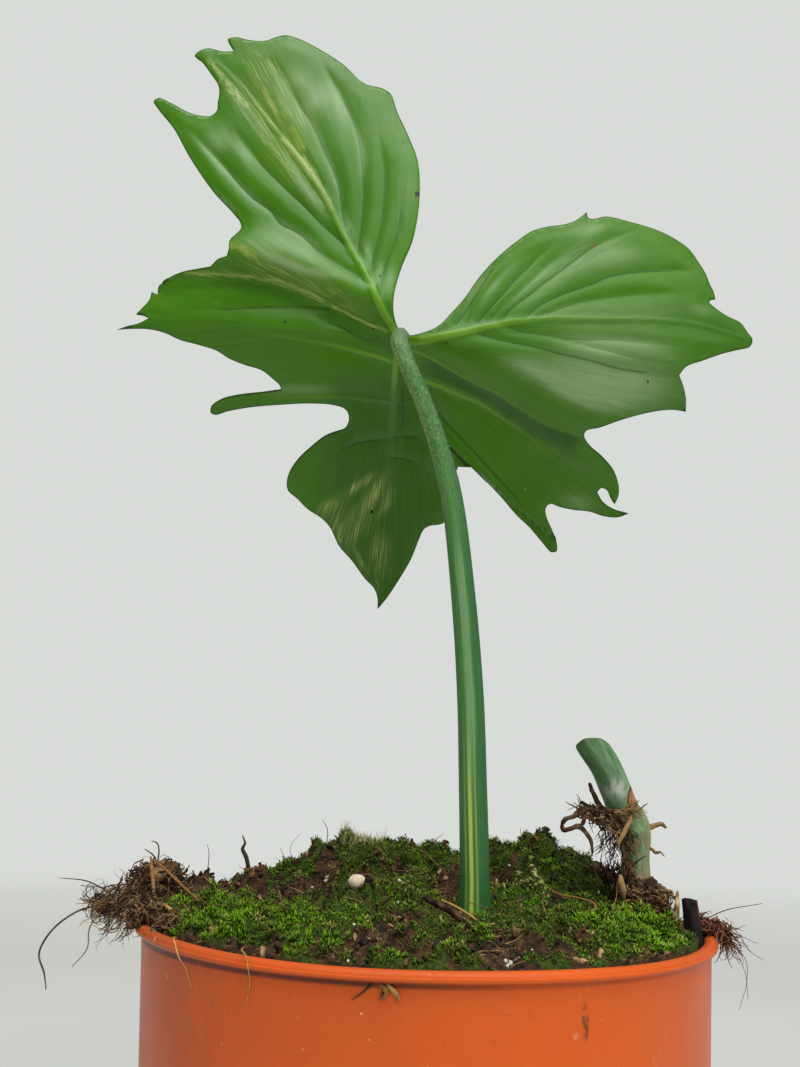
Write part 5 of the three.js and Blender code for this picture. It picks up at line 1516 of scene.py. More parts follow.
class PLANT_OT_moss(bpy.types.Operator):
    """Plants the moss shoots on the bed, and the fine capsule stalks on the knoll"""

    bl_idname = "plant.moss"
    bl_label = "Moss shoots"

    def execute(self, context):
        filling = context.scene.plant_filling
        dice = np.random.default_rng(11)
        x, y = over_bed(dice, filling.shoots * 3, MOSS_RADIUS - 0.5)
        mossy, bright = greenness(x, y)
        keep = mossy + dice.normal(0, 0.1, len(x)) > 0.12
        # None under the stalk, the vine, the pebble, the twig and the chip
        for cx, cy, radius in (
            (9.9, -15, 3.6), (49, 3.5, 4.5), (-14.5, -7, 2), (51.5, -18.6, 2), (51.3, -22.4, 3),
        ):
            keep &= np.hypot(x - cx, y - cy) >= radius
        x, y, bright = (v[keep][: filling.shoots] for v in (x, y, bright))
        finish = self.finish(filling)
        share = math.ceil(len(x) / 3)
        for part in range(3):
            some = slice(part * share, (part + 1) * share)
            piece = self.plant(filling, dice, x[some], y[some], bright[some])
            settle(piece, f"moss_shoots_{part + 1}", "moss", None, finish)
        stalks = self.raise_stalks(dice)
        settle(
            stalks, "moss_capsules", "moss", None, fibre_finish("moss_stalks", (226, 220, 170), (150, 140, 84))
        )
        return {"FINISHED"}

    def shoot_model(self):
        """A shoot with two whorls of two slim leaflets, and how near each point is to its tip."""
        points, faces, tips = [], [], []
        for level, (height, lean) in enumerate(((0.1, 56), (0.6, 28))):
            for k in range(2):
                around = round_about((k / 2 + level * 0.25) * TURN)
                tilt = math.radians(lean + 7 * ((k * 5 + level) % 3 - 1))
                out = np.array([*around * math.sin(tilt), math.cos(tilt)]) * 0.95
                side = np.array([-around[1], around[0], 0]) * 0.16
                base = np.array([0, 0, height])
                middle = base + out * 0.45
                n = len(points)
                points += [base, middle + side + (0, 0, 0.05), middle - side, base + out + (0, 0, 0.08)]
                faces += [(n, n + 2, n + 1), (n + 1, n + 2, n + 3), (n, n + 1, n + 3), (n, n + 3, n + 2)]
                tips += [0.15 * height, 0.35 + 0.3 * height, 0.35 + 0.3 * height, 0.7 + 0.3 * height]
        return (points, faces), tips

    def plant(self, filling, dice, x, y, bright):
        model, tips = self.shoot_model()
        count, flat = len(x), np.column_stack([x, y])
        ways = bed_normals(x, y) * 0.8 + dice.normal(0, 0.24, (count, 3)) + (0, 0, 0.45)
        turns = turned_to(ways, dice.uniform(0, TURN, count))
        places = np.column_stack([x, y, bed_top(x, y) - 0.45])
        sizes = filling.shoot / MM / 1.7 * dice.uniform(0.6, 1.4, count) * (0.6 + 0.6 * bright)
        sizes = sizes * (1 + 0.3 * ripple(flat, 3, 47))
        tone = (
            bright + 0.34 * ripple(flat, 4.5, 44) + 0.32 * ripple(flat, 1.7, 45) + dice.normal(0, 0.1, count)
        )
        # Towards the back the moss turns to the dry yellow tone, partly yellowed moss and partly painted light
        # that brightens the back
        hue = 0.5 + 0.2 * smooth((y + 10) / 30) + 0.35 * ripple(flat, 3.2, 46) + dice.normal(0, 0.22, count)
        marks = {"tone": np.clip(tone, 0, 1), "hue": np.clip(hue, 0, 1)}
        return scatter_piece("shoots", model, places, turns, sizes, marks, {"tip": tips})

    def raise_stalks(self, dice):
        parts, tones = [], []
        for _ in range(260):
            way = round_about(dice.uniform(0, TURN))
            foot = np.array([-14.8, 25.4]) + way * 5.8 * math.sqrt(dice.random())
            lean = (dice.normal(0, 0.25), dice.normal(0, 0.25), 1)
            height = dice.uniform(1.6, 3.2)
            foot = (*foot, bed_top(*foot[:, None])[0])
            parts.append(fibre(foot, lean, height, 0.08, dice, curl=0.1, sides=3, steps=4))
            tones.append(dice.random())
        return bundle_piece("stalks", parts, tones)

    def finish(self, filling):
        f = Finish("moss shoots", 0.7, 0.12)
        tone, tip, hue = (f.mark(name) for name in ("tone", "tip", "hue"))
        low = f.blend(tone, (28, 42, 10), (64, 106, 12))
        f.colour = f.blend(f.steps(tone, 0.0, 0.5), (58, 88, 38), filling.dull)
        f.layer(f.steps(tone, 0.4, 0.95), filling.lively)
        f.layer(f.steps(hue, 0.68, 1.0, 0, 0.7), filling.straw)
        f.layer(f.steps(hue, 0.3, 0.05, 0, 0.6), (134, 108, 58))
        f.colour = f.blend(f.steps(tip, 0.1, 0.85), low, f.colour)
        return f.done()


# Litter heaped at certain spots: name, slot, paler and darker tone, size, flatness, spots: x, y, spread,
# count
HEAPS = [
    ("yellow_lichen", "moss", (204, 200, 128), (112, 136, 60), 1.3, 0.4, [
        (22.4, 7.2, 1.3, 14), (19.8, 8.5, 1.1, 10), (25.7, 6.2, 1.2, 12), (20.2, 5.3, 1.0, 8),
        (23.7, 4.3, 1.0, 8),
        (27.6, 4.5, 0.9, 8), (3, 14, 1.4, 8), (-3, 13, 1.4, 8),
    ]),
    ("brown_clods", "potting_soil", (128, 82, 52), (48, 28, 18), 2.0, 0.7, [
        (-48.6, 21, 2.2, 12), (-45, 24, 2.4, 12), (-40.2, 4, 1.8, 8), (-36, 25, 3, 18),
        (-10.4, 17.6, 1.6, 10),
        (-2, 30, 4, 26), (5, 28, 3, 18), (26, 15, 1.3, 8), (-30, 27, 2.4, 12), (-14, 13, 1.4, 8),
    ]),
    ("black_clods", "potting_soil", (46, 42, 38), (10, 9, 9), 1.9, 0.7, [
        (-14.6, -7.4, 1.8, 14), (-41.6, 0.8, 1.9, 16), (-27.6, -2.6, 1.8, 10), (3.6, -47, 1.6, 8),
        (-10, -49, 2.6, 16),
        (14.2, -20.6, 1.4, 8), (33.7, -24.5, 1.6, 8), (32, 7.4, 1.8, 12), (-21, 20, 1.6, 8), (28, 16, 1.5, 8),
        (13, -47, 2.4, 10),
    ]),
    ("tan_bits", "dry_twig", (186, 150, 106), (112, 78, 50), 2.2, 0.35, [
        (-37, -38.8, 0.9, 4), (-14.3, -32.5, 0.8, 4), (-10.8, -14.2, 0.7, 3), (-4.4, -32.5, 1.0, 5),
        (46.2, 6.6, 0.8, 4),
        (-17.8, -19.6, 0.8, 3), (37.6, -39.8, 2.2, 10), (26.7, -48.6, 1.2, 3), (25.5, -31.6, 1.2, 5),
        (43.8, 5, 0.9, 4),
    ]),
    ("white_bits", "pebble_stone", (240, 238, 224), (206, 200, 178), 1.0, 0.8, [
        (-13.2, 14.9, 0.2, 2), (-25.5, 13.3, 0.2, 1), (-22.7, 13.3, 0.4, 2), (-19.8, -10, 0.2, 1),
        (11.4, -51.7, 0.3, 3),
        (30.1, 0.5, 0.6, 4), (1.9, -5.9, 0.2, 1), (-5.7, -7.1, 0.2, 1), (-5, 11.7, 0.4, 2),
        (15.2, 14.2, 0.2, 1),
    ]),
]


class PLANT_OT_litter(bpy.types.Operator):
    """Strews soil crumbs, chips, grains of perlite and fine dead fibres over the bed"""

    bl_idname = "plant.litter"
    bl_label = "Litter"

    def execute(self, context):
        filling = context.scene.plant_filling
        dice = np.random.default_rng(5)
        # Strewn all over: name, slot, paler and darker tone, count, sizes, flatness and most moss it lies on
        for name, slot, light, dark, count, sizes, flatness, limit in (
            ("soil_crumbs", "potting_soil", (84, 56, 36),
            (20, 14, 10), filling.crumbs, (0.35, 1.5), 0.7, 0.0),
            ("litter_chips", "potting_soil", (178, 146, 100),
            (66, 40, 26), filling.chips, (0.5, 3.0), 0.25, 0.45),
            ("perlite", "pebble_stone", (236, 232, 216), (200, 190, 164), 60, (0.3, 0.9), 0.8, 0.3),
        ):
            x, y = over_bed(dice, count * 8, MOSS_RADIUS - 0.4)
            keep = greenness(x, y)[0] + dice.normal(0, 0.25, len(x)) < limit
            x, y = x[keep][:count], y[keep][:count]
            size = mix(*sizes, dice.random(len(x)) ** 2.2)
            self.strew(dice, name, slot, light, dark, x, y, size, flatness)
        for name, slot, light, dark, size, flatness, spots in HEAPS:
            x, y = np.hstack([
                [dice.normal(x, spread, count), dice.normal(y, spread, count)]
                for x, y, spread, count in spots
            ])
            self.strew(dice, name, slot, light, dark, x, y, size * dice.uniform(0.4, 1.2, len(x)), flatness)
        self.lay_fibres(filling, dice)
        return {"FINISHED"}

    def strew(self, dice, name, slot, light, dark, x, y, size, flatness):
        count = len(x)
        ways = bed_normals(x, y) + dice.normal(0, 0.35, (count, 3))
        points, faces = crumb_model(len(name), 0.45)
        places = np.column_stack([x, y, bed_top(x, y) + size * flatness * 0.15])
        turns = turned_to(ways, dice.uniform(0, TURN, count))
        model = (points * (1, mix(0.35, 1, flatness), flatness), faces)
        piece = scatter_piece(name, model, places, turns, size, {"tone": dice.random(count)})
        settle(piece, name, slot, None, fibre_finish(name, light, dark))

    def lay_fibres(self, filling, dice):
        x, y = over_bed(dice, filling.fibres)
        parts = []
        for foot in zip(x, y, bed_top(x, y) + 0.45):
            way = (*round_about(dice.uniform(0, TURN)), dice.normal(0.12, 0.22))
            length = mix(2.5, 9, dice.random() ** 1.6)
            parts.append(fibre(foot, way, length, dice.uniform(0.05, 0.15), dice, 0.2, steps=6))
        piece = bundle_piece("litter_fibres", parts, dice.random(len(parts)))
        settle(
            piece, "litter_fibres", "dry_roots", None, fibre_finish("litter_fibres", (168, 132, 88), (70, 42, 26))
        )


VINE = [
    (-2, -16, 74, 3.6), (8, -15, 73, 4.4), (25, -8, 75, 4.4), (41, -1, 82, 4.2), (49, 3, 92, 3.6),
    (48.8, 3.6, 99, 3.1), (48.3, 3.6, 104.6, 3.0), (48.2, 3, 109.5, 3.15), (47.8, 2, 112.8, 3.75),
    (47.1, 0.9, 115, 3.9), (45.4, 0, 117.8, 3.5), (43.1, -2, 122.5, 3.45), (40.6, -4, 127.4, 3.45),
    (37.6, -5.5, 131.5, 3.4), (34.6, -7, 135.5, 3.4),
]


class PLANT_OT_vine(bpy.types.Operator):
    """Lays the old vine in the root ball and turns its cut length up beside the rim"""

    bl_idname = "plant.vine"
    bl_label = "Old vine"

    def execute(self, context):
        vine = context.scene.plant_vine

        def bark(station, angles, centre):
            around = np.stack([angles * 1.3, np.full_like(angles, centre[2] * 0.25)], axis=1)
            low = smooth((118 - centre[2]) / 4)
            return 1 + 0.02 * np.sin(angles * 7) + (0.012 + 0.03 * low) * ripple(around, 0.7, 8)

        piece = tube_piece("vine", VINE, 44, step=0.6, shape=bark)
        settle(piece, "vine", "vine_bark", "vine_stem", self.finish(vine))
        spots = points_of(piece)
        mark(piece, "silver", bell(length_of((spots - (42.4, -5, 122.4)) / (2.8, 3, 2.3)), 1.0))
        mark(piece, "scar", bell(length_of((spots - (46.6, -3.4, 120.4)) / (1.5, 2.4, 2.4)), 1.0))
        mark(piece, "old", smooth((118.2 - spots[:, 2]) / 1.4))
        # The top is cut at a slant that faces up and away
        axis, slant = np.array([-0.575, -0.29, 0.765]), np.array([-0.15, 0.45, 0.88])
        over = (spots - (37.8, -5.4, 131.1)) @ slant
        move_points(piece, spots - np.outer(np.maximum(over, 0) / (axis @ slant), axis))
        mark(piece, "cut", smooth((over + 0.35) / 0.3))
        return {"FINISHED"}

    def finish(self, vine):
        f = Finish("vine bark", 0.5, 0.4)
        lines = f.fine_lines(16.0, 0.12)
        mottle = f.clouds(f.stretched(1, 1, 0.5), 620, 5, 0.7)
        old, scar = f.mark("old"), f.mark("scar")
        f.colour = f.blend(lines, vine.dark, vine.colour)
        f.layer(f.times(f.mark("silver"), f.steps(mottle, 0.36, 0.56)), vine.silver)
        f.layer(f.times(old, f.steps(mottle, 0.46, 0.56, 0.1, 0.85)), vine.husk)
        f.layer(f.steps(scar, 0.2, 0.34), (74, 48, 28))
        f.layer(f.steps(scar, 0.42, 0.55), f.blend(f.steps(mottle, 0.4, 0.6), vine.scar, (196, 150, 96)))
        f.layer(f.times(old, f.steps(mottle, 0.46, 0.38, 0, 0.6)), (158, 190, 140))
        f.layer(f.times(f.specks(f.place, 900, 0.25), 0.6), vine.husk)
        f.layer(f.steps(f.mark("cut"), 0.3, 0.8), (96, 116, 66))
        return f.done(f.plus(lines, mottle), 0.00018, 0.7)


# Thick air roots and stubs of the vine: the tone, from 0 dark to 1 pale, and the path
AIR_ROOTS = [
    # Loops on the left
    (0.3, [(45.5, -1, 117.2, 0.7), (42.5, -2.4, 118, 0.62), (39.5, -2.8, 117.6, 0.6), (36.4, -3, 118.2, 0.45),
           (34.6, -3, 117.4, 0.75), (33.2, -3, 116.4, 0.5), (31.4, -3, 115.8, 0.5), (30.6, -3, 114.6, 0.4),
           (30.8, -3, 113.6, 0.55), (32.4, -3, 113.8, 0.45), (34.3, -3, 114.3, 0.62), (35.9, -3, 112.9, 0.5),
           (36.9, -3, 110.9, 0.42), (37, -3, 108.8, 0.22)]),
    (0.1, [(44, -1.8, 115.4, 0.6), (41.4, -2.6, 116.8, 0.5), (38.6, -2.8, 118.2, 0.42),
     (36.2, -3, 118.9, 0.35),
           (35.2, -3, 119.6, 0.2), (34.8, -3, 119, 0.16), (34.6, -3, 117.6, 0.14)]),
    (0.2, [(34.9, -3, 117.2, 0.6), (35.6, -2.8, 116.2, 0.5), (35.2, -3, 115, 0.45),
     (34.4, -3.1, 114.2, 0.3)]),
    # Tan wedge in front, and the short hooked root and the thin one on the right
    (1.3, [(46.4, -3.2, 117.9, 0.25), (45.4, -3.8, 115.7, 0.5), (43.8, -4.2, 113.2, 0.56),
     (42.4, -4.2, 110.9, 0.35)]),
    (0.7, [(49.4, 1, 114.4, 1.1), (51.2, 1, 114.5, 0.6), (52.8, 1, 115, 0.5), (54.1, 1, 115.2, 0.5),
     (54.9, 1, 114.5, 0.3)]),
    (0.5, [(49.4, 1.4, 109.6, 0.45), (51.2, 1, 109.9, 0.34), (52.2, 1, 109.1, 0.4), (53.2, 1, 109.3, 0.2),
           (54.1, 1, 108.4, 0.1)]),
    # Spike that stands up at the left of the node
    (0.2, [(40.4, -1.8, 117.6, 0.7), (39, -2, 119.6, 0.6), (38, -2, 121.7, 0.5), (37.4, -2, 123.5, 0.36)]),
    # Dead flap at the foot
    (1.2, [(42.6, -4, 104.6, 0.3), (42.6, -4.2, 103.4, 0.75), (43, -4.2, 101.4, 0.7), (43, -4, 100, 0.3)]),
]


class PLANT_OT_vine_roots(bpy.types.Operator):
    """Models the vine's air roots, the husk at its foot and the mass of dry roots in front of it"""

    bl_idname = "plant.vine_roots"
    bl_label = "Vine roots"

    def execute(self, context):
        dice = np.random.default_rng(17)
        parts, tones = [], []

        def knobbly(seed):
            return lambda station, angles, centre: 1 + 0.16 * ripple(
                np.stack([angles, np.full_like(angles, station * 3)], axis=1), 1.2, seed)

        def strand(start, way, lengths, girths, curl, shades, pull=None):
            length, girth = dice.uniform(*lengths), dice.uniform(*girths)
            parts.append(fibre(start, way, length, girth, dice, curl, pull))
            tones.append(dice.uniform(*shades))

        def between(start, end, share):
            return mix(np.array(start), np.array(end), share)

        for i, (tone, path) in enumerate(AIR_ROOTS):
            parts.append(tube_parts(path, 12, step=0.45, shape=knobbly(i), tip=0.7)[:2])
            tones.append(tone)
        # Matted strands from the node to the loop
        for _ in range(190):
            share = dice.random()
            start = between((44.6, -2.4, 113.6), (35.4, -2.8, 118.2), share)
            start = start + dice.normal(0, (0.9, 0.5, mix(1.5, 0.5, share)))
            way = np.array([-1, dice.normal(-0.1, 0.2), dice.normal(0.5, 0.4)]) * dice.choice((-1, 1))
            strand(start, way, (1.5, 5), (0.1, 0.32), 0.24, (0.0, 0.8))
        # Torn sheath round the node and down the stem under it
        for k in range(150):
            share = dice.random()
            if k % 2:
                start = between((41.6, -4.2, 117.2), (47.6, -3.4, 118.4), share) + dice.normal(0, 0.4, 3)
                way = (1, 0, dice.normal(0.1, 0.5))
            else:
                start = between((43.6, -2.2, 112), (46.4, 0, 103.6), share) + dice.normal(0, (0.8, 0.3, 0.8))
                way = (dice.normal(0.1, 0.3), -0.05, -1)
            strand(start, way, (1.2, 3.4), (0.08, 0.26), 0.2, (0.3, 1.2))
        # Fringe of fine roots that hangs below the node
        for _ in range(90):
            start = np.array([42.6, -1.6, 112.6]) + dice.normal(0, (1.5, 0.8, 1.6))
            strand(start, (dice.normal(-0.1, 0.45), -0.1, -1), (2.5, 6.5), (0.06, 0.18), 0.22, (0.0, 0.4))
        # Dark stubble at the left of the foot
        for _ in range(90):
            start = np.array([41.8, -0.6, 103.4]) + dice.normal(0, (2.0, 1.3, 1.2))
            way = (dice.normal(-0.2, 0.4), dice.normal(-0.2, 0.2), 1)
            strand(start, way, (2, 5), (0.12, 0.3), 0.15, (0.0, 0.12))
        # Mass of roots at the foot
        for _ in range(330):
            way = round_about(dice.uniform(0, TURN)) * math.sqrt(dice.random()) * (6, 4.6)
            start = np.array([48.6, -2.6, 99.4]) + (*way, dice.uniform(-2, 2.6))
            strand(start, dice.normal(0, (1, 0.8, 0.4)), (3, 8), (0.08, 0.3), 0.38, (0.0, 0.85), (49, -3, 99))
        # Clod of soil round the foot
        for k in range(70):
            points, faces = crumb_model(k, 0.5)
            middle = np.array([48.2, 0.6, 100.6]) + np.clip(dice.normal(0, 0.5, 3), -1, 1) * (4.6, 4.2, 2.6)
            parts.append((points * dice.uniform(0.8, 2.6) + middle, faces))
            tones.append(dice.uniform(-0.2, 0.35))
        piece = bundle_piece("vine_roots", parts, tones)
        finish = fibre_finish("vine_roots", (164, 130, 86), (46, 28, 19))
        settle(piece, "vine_roots", "dry_roots", "stem_roots", finish)
        self.wrap_husk()
        return {"FINISHED"}

    def wrap_husk(self):
        """Torn brown husk round the foot of the vine."""

        def torn(station, angles, centre):
            around = np.stack(
                [np.cos(angles) * 2, np.sin(angles) * 2, np.full_like(angles, station * 1.7)], axis=1
            )
            return 1 + 0.16 * ripple(around, 1.3, 23) + 0.08 * np.sin(angles * 11 + station)

        husk = [
            (50, 3.2, 94.5, 4.8), (49.6, 3.4, 97.6, 4.6), (49, 3.5, 100.2, 4.2), (48.6, 3.6, 102.4, 3.7),
            (48.4, 3.6, 103.6, 3.3),
        ]
        piece = tube_piece("husk", husk, 36, step=0.5, shape=torn)
        mark(piece, "tone", 0.35 + 0.3 * ripple(points_of(piece), 2.2, 9))
        settle(piece, "vine_husk", "dry_roots", None, fibre_finish("husk", (150, 112, 74), (48, 30, 20)))


# Single thin roots that stand out from the clumps
LEFT_STRAYS = [
    [(-66, -11, 97, 0.22), (-70.5, -12, 96, 0.2), (-75, -13, 92.5, 0.2), (-76.6, -14, 88.4, 0.19),
     (-74.6, -15, 85, 0.17),
     (-73.4, -16, 82.4, 0.1)],
    [(-66, -12, 96, 0.16), (-67.6, -13, 93, 0.16), (-67.2, -14, 89.4, 0.14), (-69.4, -15, 86.2, 0.08)],
    [(-65, -10, 99, 0.14), (-70, -11, 101.4, 0.12), (-75.6, -12, 102, 0.06)],
    [(-57, -6, 104, 0.2), (-58.4, -6, 106.4, 0.16), (-60.4, -6, 107.6, 0.1)],
    [(-47, -6, 102.4, 0.14), (-42.6, -10, 99.8, 0.14), (-38, -14, 97.6, 0.12)],
]
RIGHT_STRAYS = [
    [(57, -14, 97.6, 0.1), (61, -14, 99.2, 0.09), (68.6, -14, 100.6, 0.05)],
    [(60, -14, 97.4, 0.08), (63, -14, 95, 0.07), (64.8, -14, 92, 0.06), (67.6, -14, 90.2, 0.04)],
    [(62, -14, 93, 0.07), (64, -14, 90, 0.07), (63.6, -14, 86, 0.06), (61.6, -14, 81.4, 0.04)],
    [(62, -14, 92, 0.07), (63.4, -14.4, 88, 0.06), (63.2, -15, 83.4, 0.04)],
]


class PLANT_OT_root_clumps(bpy.types.Operator):
    """Tangles the dry roots that hang over the rim on the left and on the right"""

    bl_idname = "plant.root_clumps"
    bl_label = "Root clumps"

    def execute(self, context):
        roots = context.scene.plant_roots
        dice = np.random.default_rng(29)
        left = self.tangle(dice, roots.left, (-56, -7, 101.4), (8, 6, 5), (-0.6, -0.3, -0.3))
        left += self.tangle(dice, roots.left // 3, (-55, -19, 97.6), (4.5, 8, 2.6), (0, -0.5, -0.3))
        left += self.tangle(dice, roots.left // 5, (-47, -29, 95.9), (4.5, 4, 1.6), (0.5, -0.4, 0))
        left += self.tangle(dice, 70, (-66.4, -10.6, 97.4), (2.4, 1.8, 1.8), (-0.2, 0, -0.5))
        left += self.tuft(dice, 150, (-61, -10, 99.5), (-66, -13, 91), 2.6)
        left += self.tuft(dice, 60, (-56, -20, 97.6), (-60.5, -22, 93), 3.0)
        left += thin_tubes(LEFT_STRAYS, 5, 0.8)
        right = self.tangle(dice, roots.right, (56, -14, 96.2), (3.4, 3.4, 1.5), (0.2, -0.3, -0.5), (2.5, 6))
        right += self.tuft(dice, 110, (59.2, -15, 96.6), (61, -16, 89.4), 1.0, 1.0)
        right += thin_tubes(RIGHT_STRAYS, 5, 0.8)
        for name, parts, node, light in (
            ("roots_left", left, "root_clump_left", (152, 116, 80)),
            ("roots_right", right, "root_clump_right", (158, 98, 70)),
        ):
            piece = bundle_piece(name, parts, dice.random(len(parts)) ** 1.3)
            settle(piece, name, "dry_roots", node, fibre_finish(name, light, (38, 26, 20)))
        return {"FINISHED"}

    def tangle(self, dice, count, middle, radii, lean, lengths=(4, 11)):
        """Roots that wander inside a lump, over a dark core."""
        parts = []
        for _ in range(count):
            way = dice.normal(size=3)
            start = np.array(middle) + way / np.linalg.norm(way) * radii * dice.random() ** 0.4
            length, girth = dice.uniform(*lengths), dice.uniform(0.06, 0.24)
            parts.append(fibre(start, dice.normal(size=3) + lean, length, girth, dice, 0.42, pull=middle))
        for k in range(26):
            points, faces = crumb_model(k, 0.5)
            spot = np.array(middle) + np.clip(dice.normal(0, 0.35, 3), -0.6, 0.6) * radii - (0, 0, 0.8)
            parts.append((points * radii[2] * dice.uniform(0.35, 0.9) + spot, faces))
        return parts

    def tuft(self, dice, count, start, end, spread, stray=2.2):
        """Roots that hang over the rim side by side."""
        run = np.subtract(end, start)
        parts = []
        for _ in range(count):
            foot = start + dice.normal(0, (spread * 0.6, spread, spread * 0.5))
            length = np.linalg.norm(run) * dice.uniform(0.5, 1.15)
            way = run + dice.normal(0, stray, 3)
            parts.append(fibre(foot, way, length, dice.uniform(0.06, 0.2), dice, 0.3))
        return parts


def thin_tubes(lines, sides, step):
    return [tube_parts(line, sides, step=step)[:2] for line in lines]


# Pale straws and blades that lean in the bed, and fine pale roots that hang over the rim
STRAWS = [
    [(-56.8, -11.4, 105.8, 0.2), (-54.9, -12, 104.8, 0.26), (-50, -14.2, 101.6, 0.28),
     (-45.3, -16, 98.6, 0.24)],
    [(-56.8, -13.6, 106.6, 0.2), (-56, -14.4, 104, 0.42), (-55, -15.4, 101, 0.36), (-54.6, -16, 99.4, 0.2)],
    [(-43.4, -39.8, 95.4, 0.07), (-43.6, -41.4, 95.6, 0.1), (-43.1, -42.3, 95, 0.11),
     (-42.0, -43.2, 93.0, 0.1),
     (-40.7, -42.4, 91.0, 0.08), (-39.4, -43.2, 88.6, 0.04)],
    [(-30.2, -49.6, 95.5, 0.08), (-30.3, -51.6, 95.6, 0.1), (-29.3, -52.9, 94.9, 0.1),
     (-28.9, -52.8, 93.4, 0.1),
     (-28.6, -51.5, 90.8, 0.08), (-29.1, -50.8, 87.3, 0.04)],
    # Bits that hang under the lip in front
    [(-8.4, -58.5, 92.6, 0.2), (-7.5, -58.6, 91.9, 0.5), (-7.3, -58.6, 91.4, 0.3), (-7.8, -58.4, 90.7, 0.3)],
    [(-7.4, -58.6, 92.7, 0.2), (-6.6, -58.7, 92, 0.35), (-5.9, -58.7, 91.4, 0.4), (-5.3, -58.7, 90.4, 0.12)],
    [(2.4, -28.6, 101.2, 0.2), (5.6, -30.8, 100, 0.26), (8.6, -33, 98.4, 0.2)],
    [(26.6, -2, 101.8, 0.12), (28.4, -7, 100.8, 0.2), (32, -10, 100.4, 0.2), (34.2, -14, 99.8, 0.3),
     (34, -18, 99, 0.26),
     (35, -21, 98.4, 0.12)],
]
# Dark hairs and the curled black spire at the back edge
HAIRS = [
    [(-41.2, 15, 103, 0.5), (-42, 15, 105.4, 0.55), (-43, 15, 107.2, 0.45), (-42.5, 15, 108.4, 0.3),
     (-43.3, 15, 110.2, 0.12)],
    [(-49.8, 10, 102.5, 0.1), (-49.9, 10, 106.4, 0.08), (-50.5, 10, 108.2, 0.05)],
    [(-24, 28, 107.4, 0.12), (-23.8, 28, 111.6, 0.1), (-25.3, 28, 114.1, 0.05)],
    [(-57.4, -6, 104.4, 0.18), (-57.3, -6, 107.4, 0.15), (-57.9, -6, 108.9, 0.14), (-59.2, -6, 109.3, 0.07)],
    [(-30.6, 22, 103, 0.07), (-32.4, 22, 107.4, 0.06), (-30.2, 22, 110.6, 0.04)],
    [(-33, 22, 103.6, 0.08), (-34.8, 22, 107.2, 0.06)],
    [(-9.2, -58.4, 92.8, 0.14), (-9.8, -58.2, 92.2, 0.16), (-11, -57.9, 91.2, 0.13),
     (-12.5, -57.5, 90.2, 0.05)],
    [(-8.4, -58.4, 92.7, 0.1), (-7.9, -58.5, 91.4, 0.14), (-8.5, -58.2, 90.4, 0.05)],
]


# Single sticks and chips: name, its node and slot, flatness, folds, roughness, torn top, paler and darker
# tone, path
RODS = [
    ("charred_chip", "bark_chip", "bark", 1.6, 7, 0.1, 1.3, (112, 58, 38), (16, 14, 14), [
        (50.8, -23.4, 92.6, 1.95), (50.9, -22.8, 95.6, 2.05), (51.1, -22.2, 98.4, 2.0),
        (51.2, -21.6, 101.9, 1.75),
    ]),
    ("pale_twig", "twig_spike", "dry_twig", 1.5, 5, 0.09, 0.8, (214, 192, 140), (112, 82, 52), [
        (50, -15.4, 93.8, 0.8), (50.4, -14.8, 97, 0.75), (51, -14.2, 100, 0.62), (51.6, -13.6, 103.2, 0.26),
    ]),
    ("dark_stick", "stick", "dry_twig", 1.3, 5, 0.1, 0, (96, 66, 42), (26, 18, 15), [
        (-1, -29.6, 101.9, 0.3), (-0.4, -30, 101.5, 0.6), (4, -32, 99.6, 0.8), (8.4, -34, 97, 0.7),
        (9, -34.3, 96.6, 0.3),
    ]),
    ("straw_stalk", "straw", "dry_twig", 1.1, 3, 0.05, 0, (206, 164, 100), (150, 106, 58), [
        (-50.4, -23.7, 98.8, 0.22), (-46, -26.5, 96.9, 0.42), (-41.6, -29.2, 95.0, 0.26),
    ]),
]


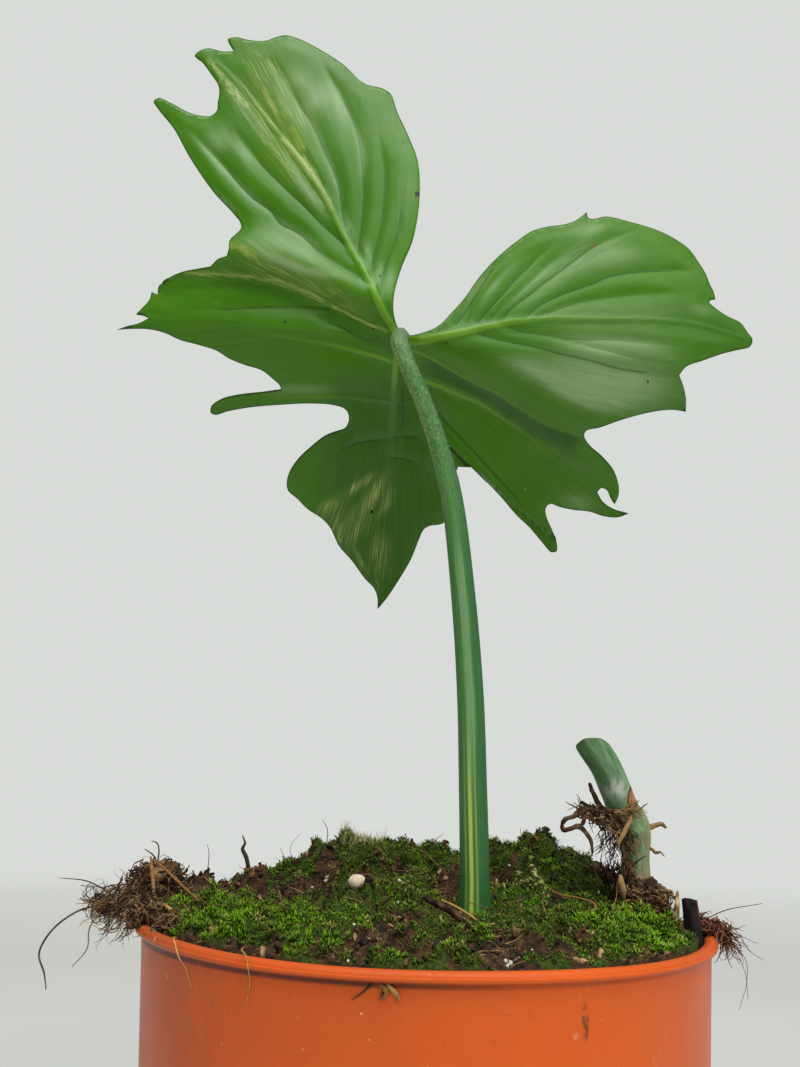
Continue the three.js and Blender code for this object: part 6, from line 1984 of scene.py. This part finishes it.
class PLANT_OT_loose_things(bpy.types.Operator):
    """Sets down the charred chip, the pale twig, the stick, the straw and the pebble"""

    bl_idname = "plant.loose_things"
    bl_label = "Loose things"

    def execute(self, context):
        for rod in RODS:
            self.lay_rod(*rod)
        dice = np.random.default_rng(3)
        for name, lines, slot, light, dark in (
            ("loose_straws", STRAWS, "dry_twig", (206, 168, 104), (140, 98, 54)),
            ("dark_hairs", HAIRS, "dry_roots", (64, 52, 44), (18, 15, 14)),
        ):
            piece = bundle_piece(name, thin_tubes(lines, 6, 0.4), dice.random(len(lines)))
            settle(piece, name, slot, None, fibre_finish(name, light, dark))
        self.set_pebble()
        return {"FINISHED"}

    def lay_rod(self, name, node, slot, flat, folds, rough, jag, light, dark, path):

        def split(station, angles, centre):
            """A squarish section with long grooves."""
            section = (np.abs(np.cos(angles)) ** 4 + np.abs(flat * np.sin(angles)) ** 4) ** -0.25
            around = np.stack([np.cos(angles), np.sin(angles), np.full_like(angles, station * 0.7)], axis=1)
            grooves = 0.5 * np.sin(angles * folds + 1) + 0.3 * np.sin(angles * (2 * folds + 3) + station)
            return section * (1 + rough * (grooves + 1.4 * ripple(around, 0.6, len(name))))

        piece = tube_piece(name, path, 30, step=0.3, shape=split, tip=0.0 if jag else 0.4)
        spots = points_of(piece)
        near_top = smooth((spots[:, 2] - spots[:, 2].max() + 2.2) / 2.2)
        spots[:, 2] -= np.maximum(near_top * (0.5 + ripple(spots[:, :2], 0.8, 5)) * jag, 0)
        move_points(piece, spots)
        tone = 0.45 + 0.4 * ripple(spots, 1.2, 3)
        if name == "charred_chip":
            tone = 0.1 * tone + 0.9 * smooth((spots[:, 0] - 51.2) / 1.4) * smooth((spots[:, 2] - 96.4) / 2.5)
        mark(piece, "tone", tone)
        settle(piece, name, slot, node, fibre_finish(name, light, dark))

    def set_pebble(self):
        low, high = (np.array(corner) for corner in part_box("pebble"))
        select_none()
        bpy.ops.mesh.primitive_ico_sphere_add(subdivisions=4, radius=1, location=(low + high) / 2)
        pebble = bpy.context.object
        pebble.scale = (high - low) / 2 * (0.8, 0.8, 0.95)
        bpy.ops.object.transform_apply(location=True, rotation=True, scale=True)
        for vertex in pebble.data.vertices:
            vertex.co += vertex.normal * noise.noise(vertex.co * 420) * 0.0003
        bpy.ops.object.shade_smooth()
        f = Finish("pebble stone", 0.55, 0.4)
        vein = f.clouds(f.place, 500, 4, 0.6, 1.2)
        f.colour = f.blend(f.steps(vein, 0.4, 0.65), (232, 222, 196), (206, 176, 122))
        finish = f.done(f.clouds(f.place, 2600, 3), 0.0001, 0.5)
        settle(pebble, "cream_pebble", "pebble_stone", "pebble", finish)


SETTINGS = {
    "plant_stage": StageSettings,
    "plant_pot": PotSettings,
    "plant_leaf": LeafSettings,
    "plant_stalk": StalkSettings,
    "plant_filling": FillingSettings,
    "plant_vine": VineSettings,
    "plant_roots": RootSettings,
}
OPERATORS = [
    PLANT_OT_stage, PLANT_OT_pot, PLANT_OT_filling, PLANT_OT_moss, PLANT_OT_litter, PLANT_OT_leaf,
    PLANT_OT_stalk, PLANT_OT_vine, PLANT_OT_vine_roots, PLANT_OT_root_clumps, PLANT_OT_loose_things,
]


class PLANT_PT_panel(bpy.types.Panel):
    """Lists the pieces of the plant and the stage"""

    bl_label = "Potted philodendron"
    bl_idname = "PLANT_PT_panel"
    bl_space_type = "VIEW_3D"
    bl_region_type = "UI"
    bl_category = "Plant"

    def draw(self, context):
        for operator in OPERATORS:
            self.layout.operator(operator.bl_idname)


def register():
    for kind in (*SETTINGS.values(), *OPERATORS, PLANT_PT_panel):
        bpy.utils.register_class(kind)
    for name, kind in SETTINGS.items():
        setattr(bpy.types.Scene, name, bpy.props.PointerProperty(type=kind))


def unregister():
    for name in SETTINGS:
        delattr(bpy.types.Scene, name)
    for kind in reversed((*SETTINGS.values(), *OPERATORS, PLANT_PT_panel)):
        bpy.utils.unregister_class(kind)


def main():
    register()
    for operator in OPERATORS:
        category, name = operator.bl_idname.split(".")
        getattr(getattr(bpy.ops, category), name)()
    bpy.context.view_layer.update()


if __name__ == "__main__":
    main()
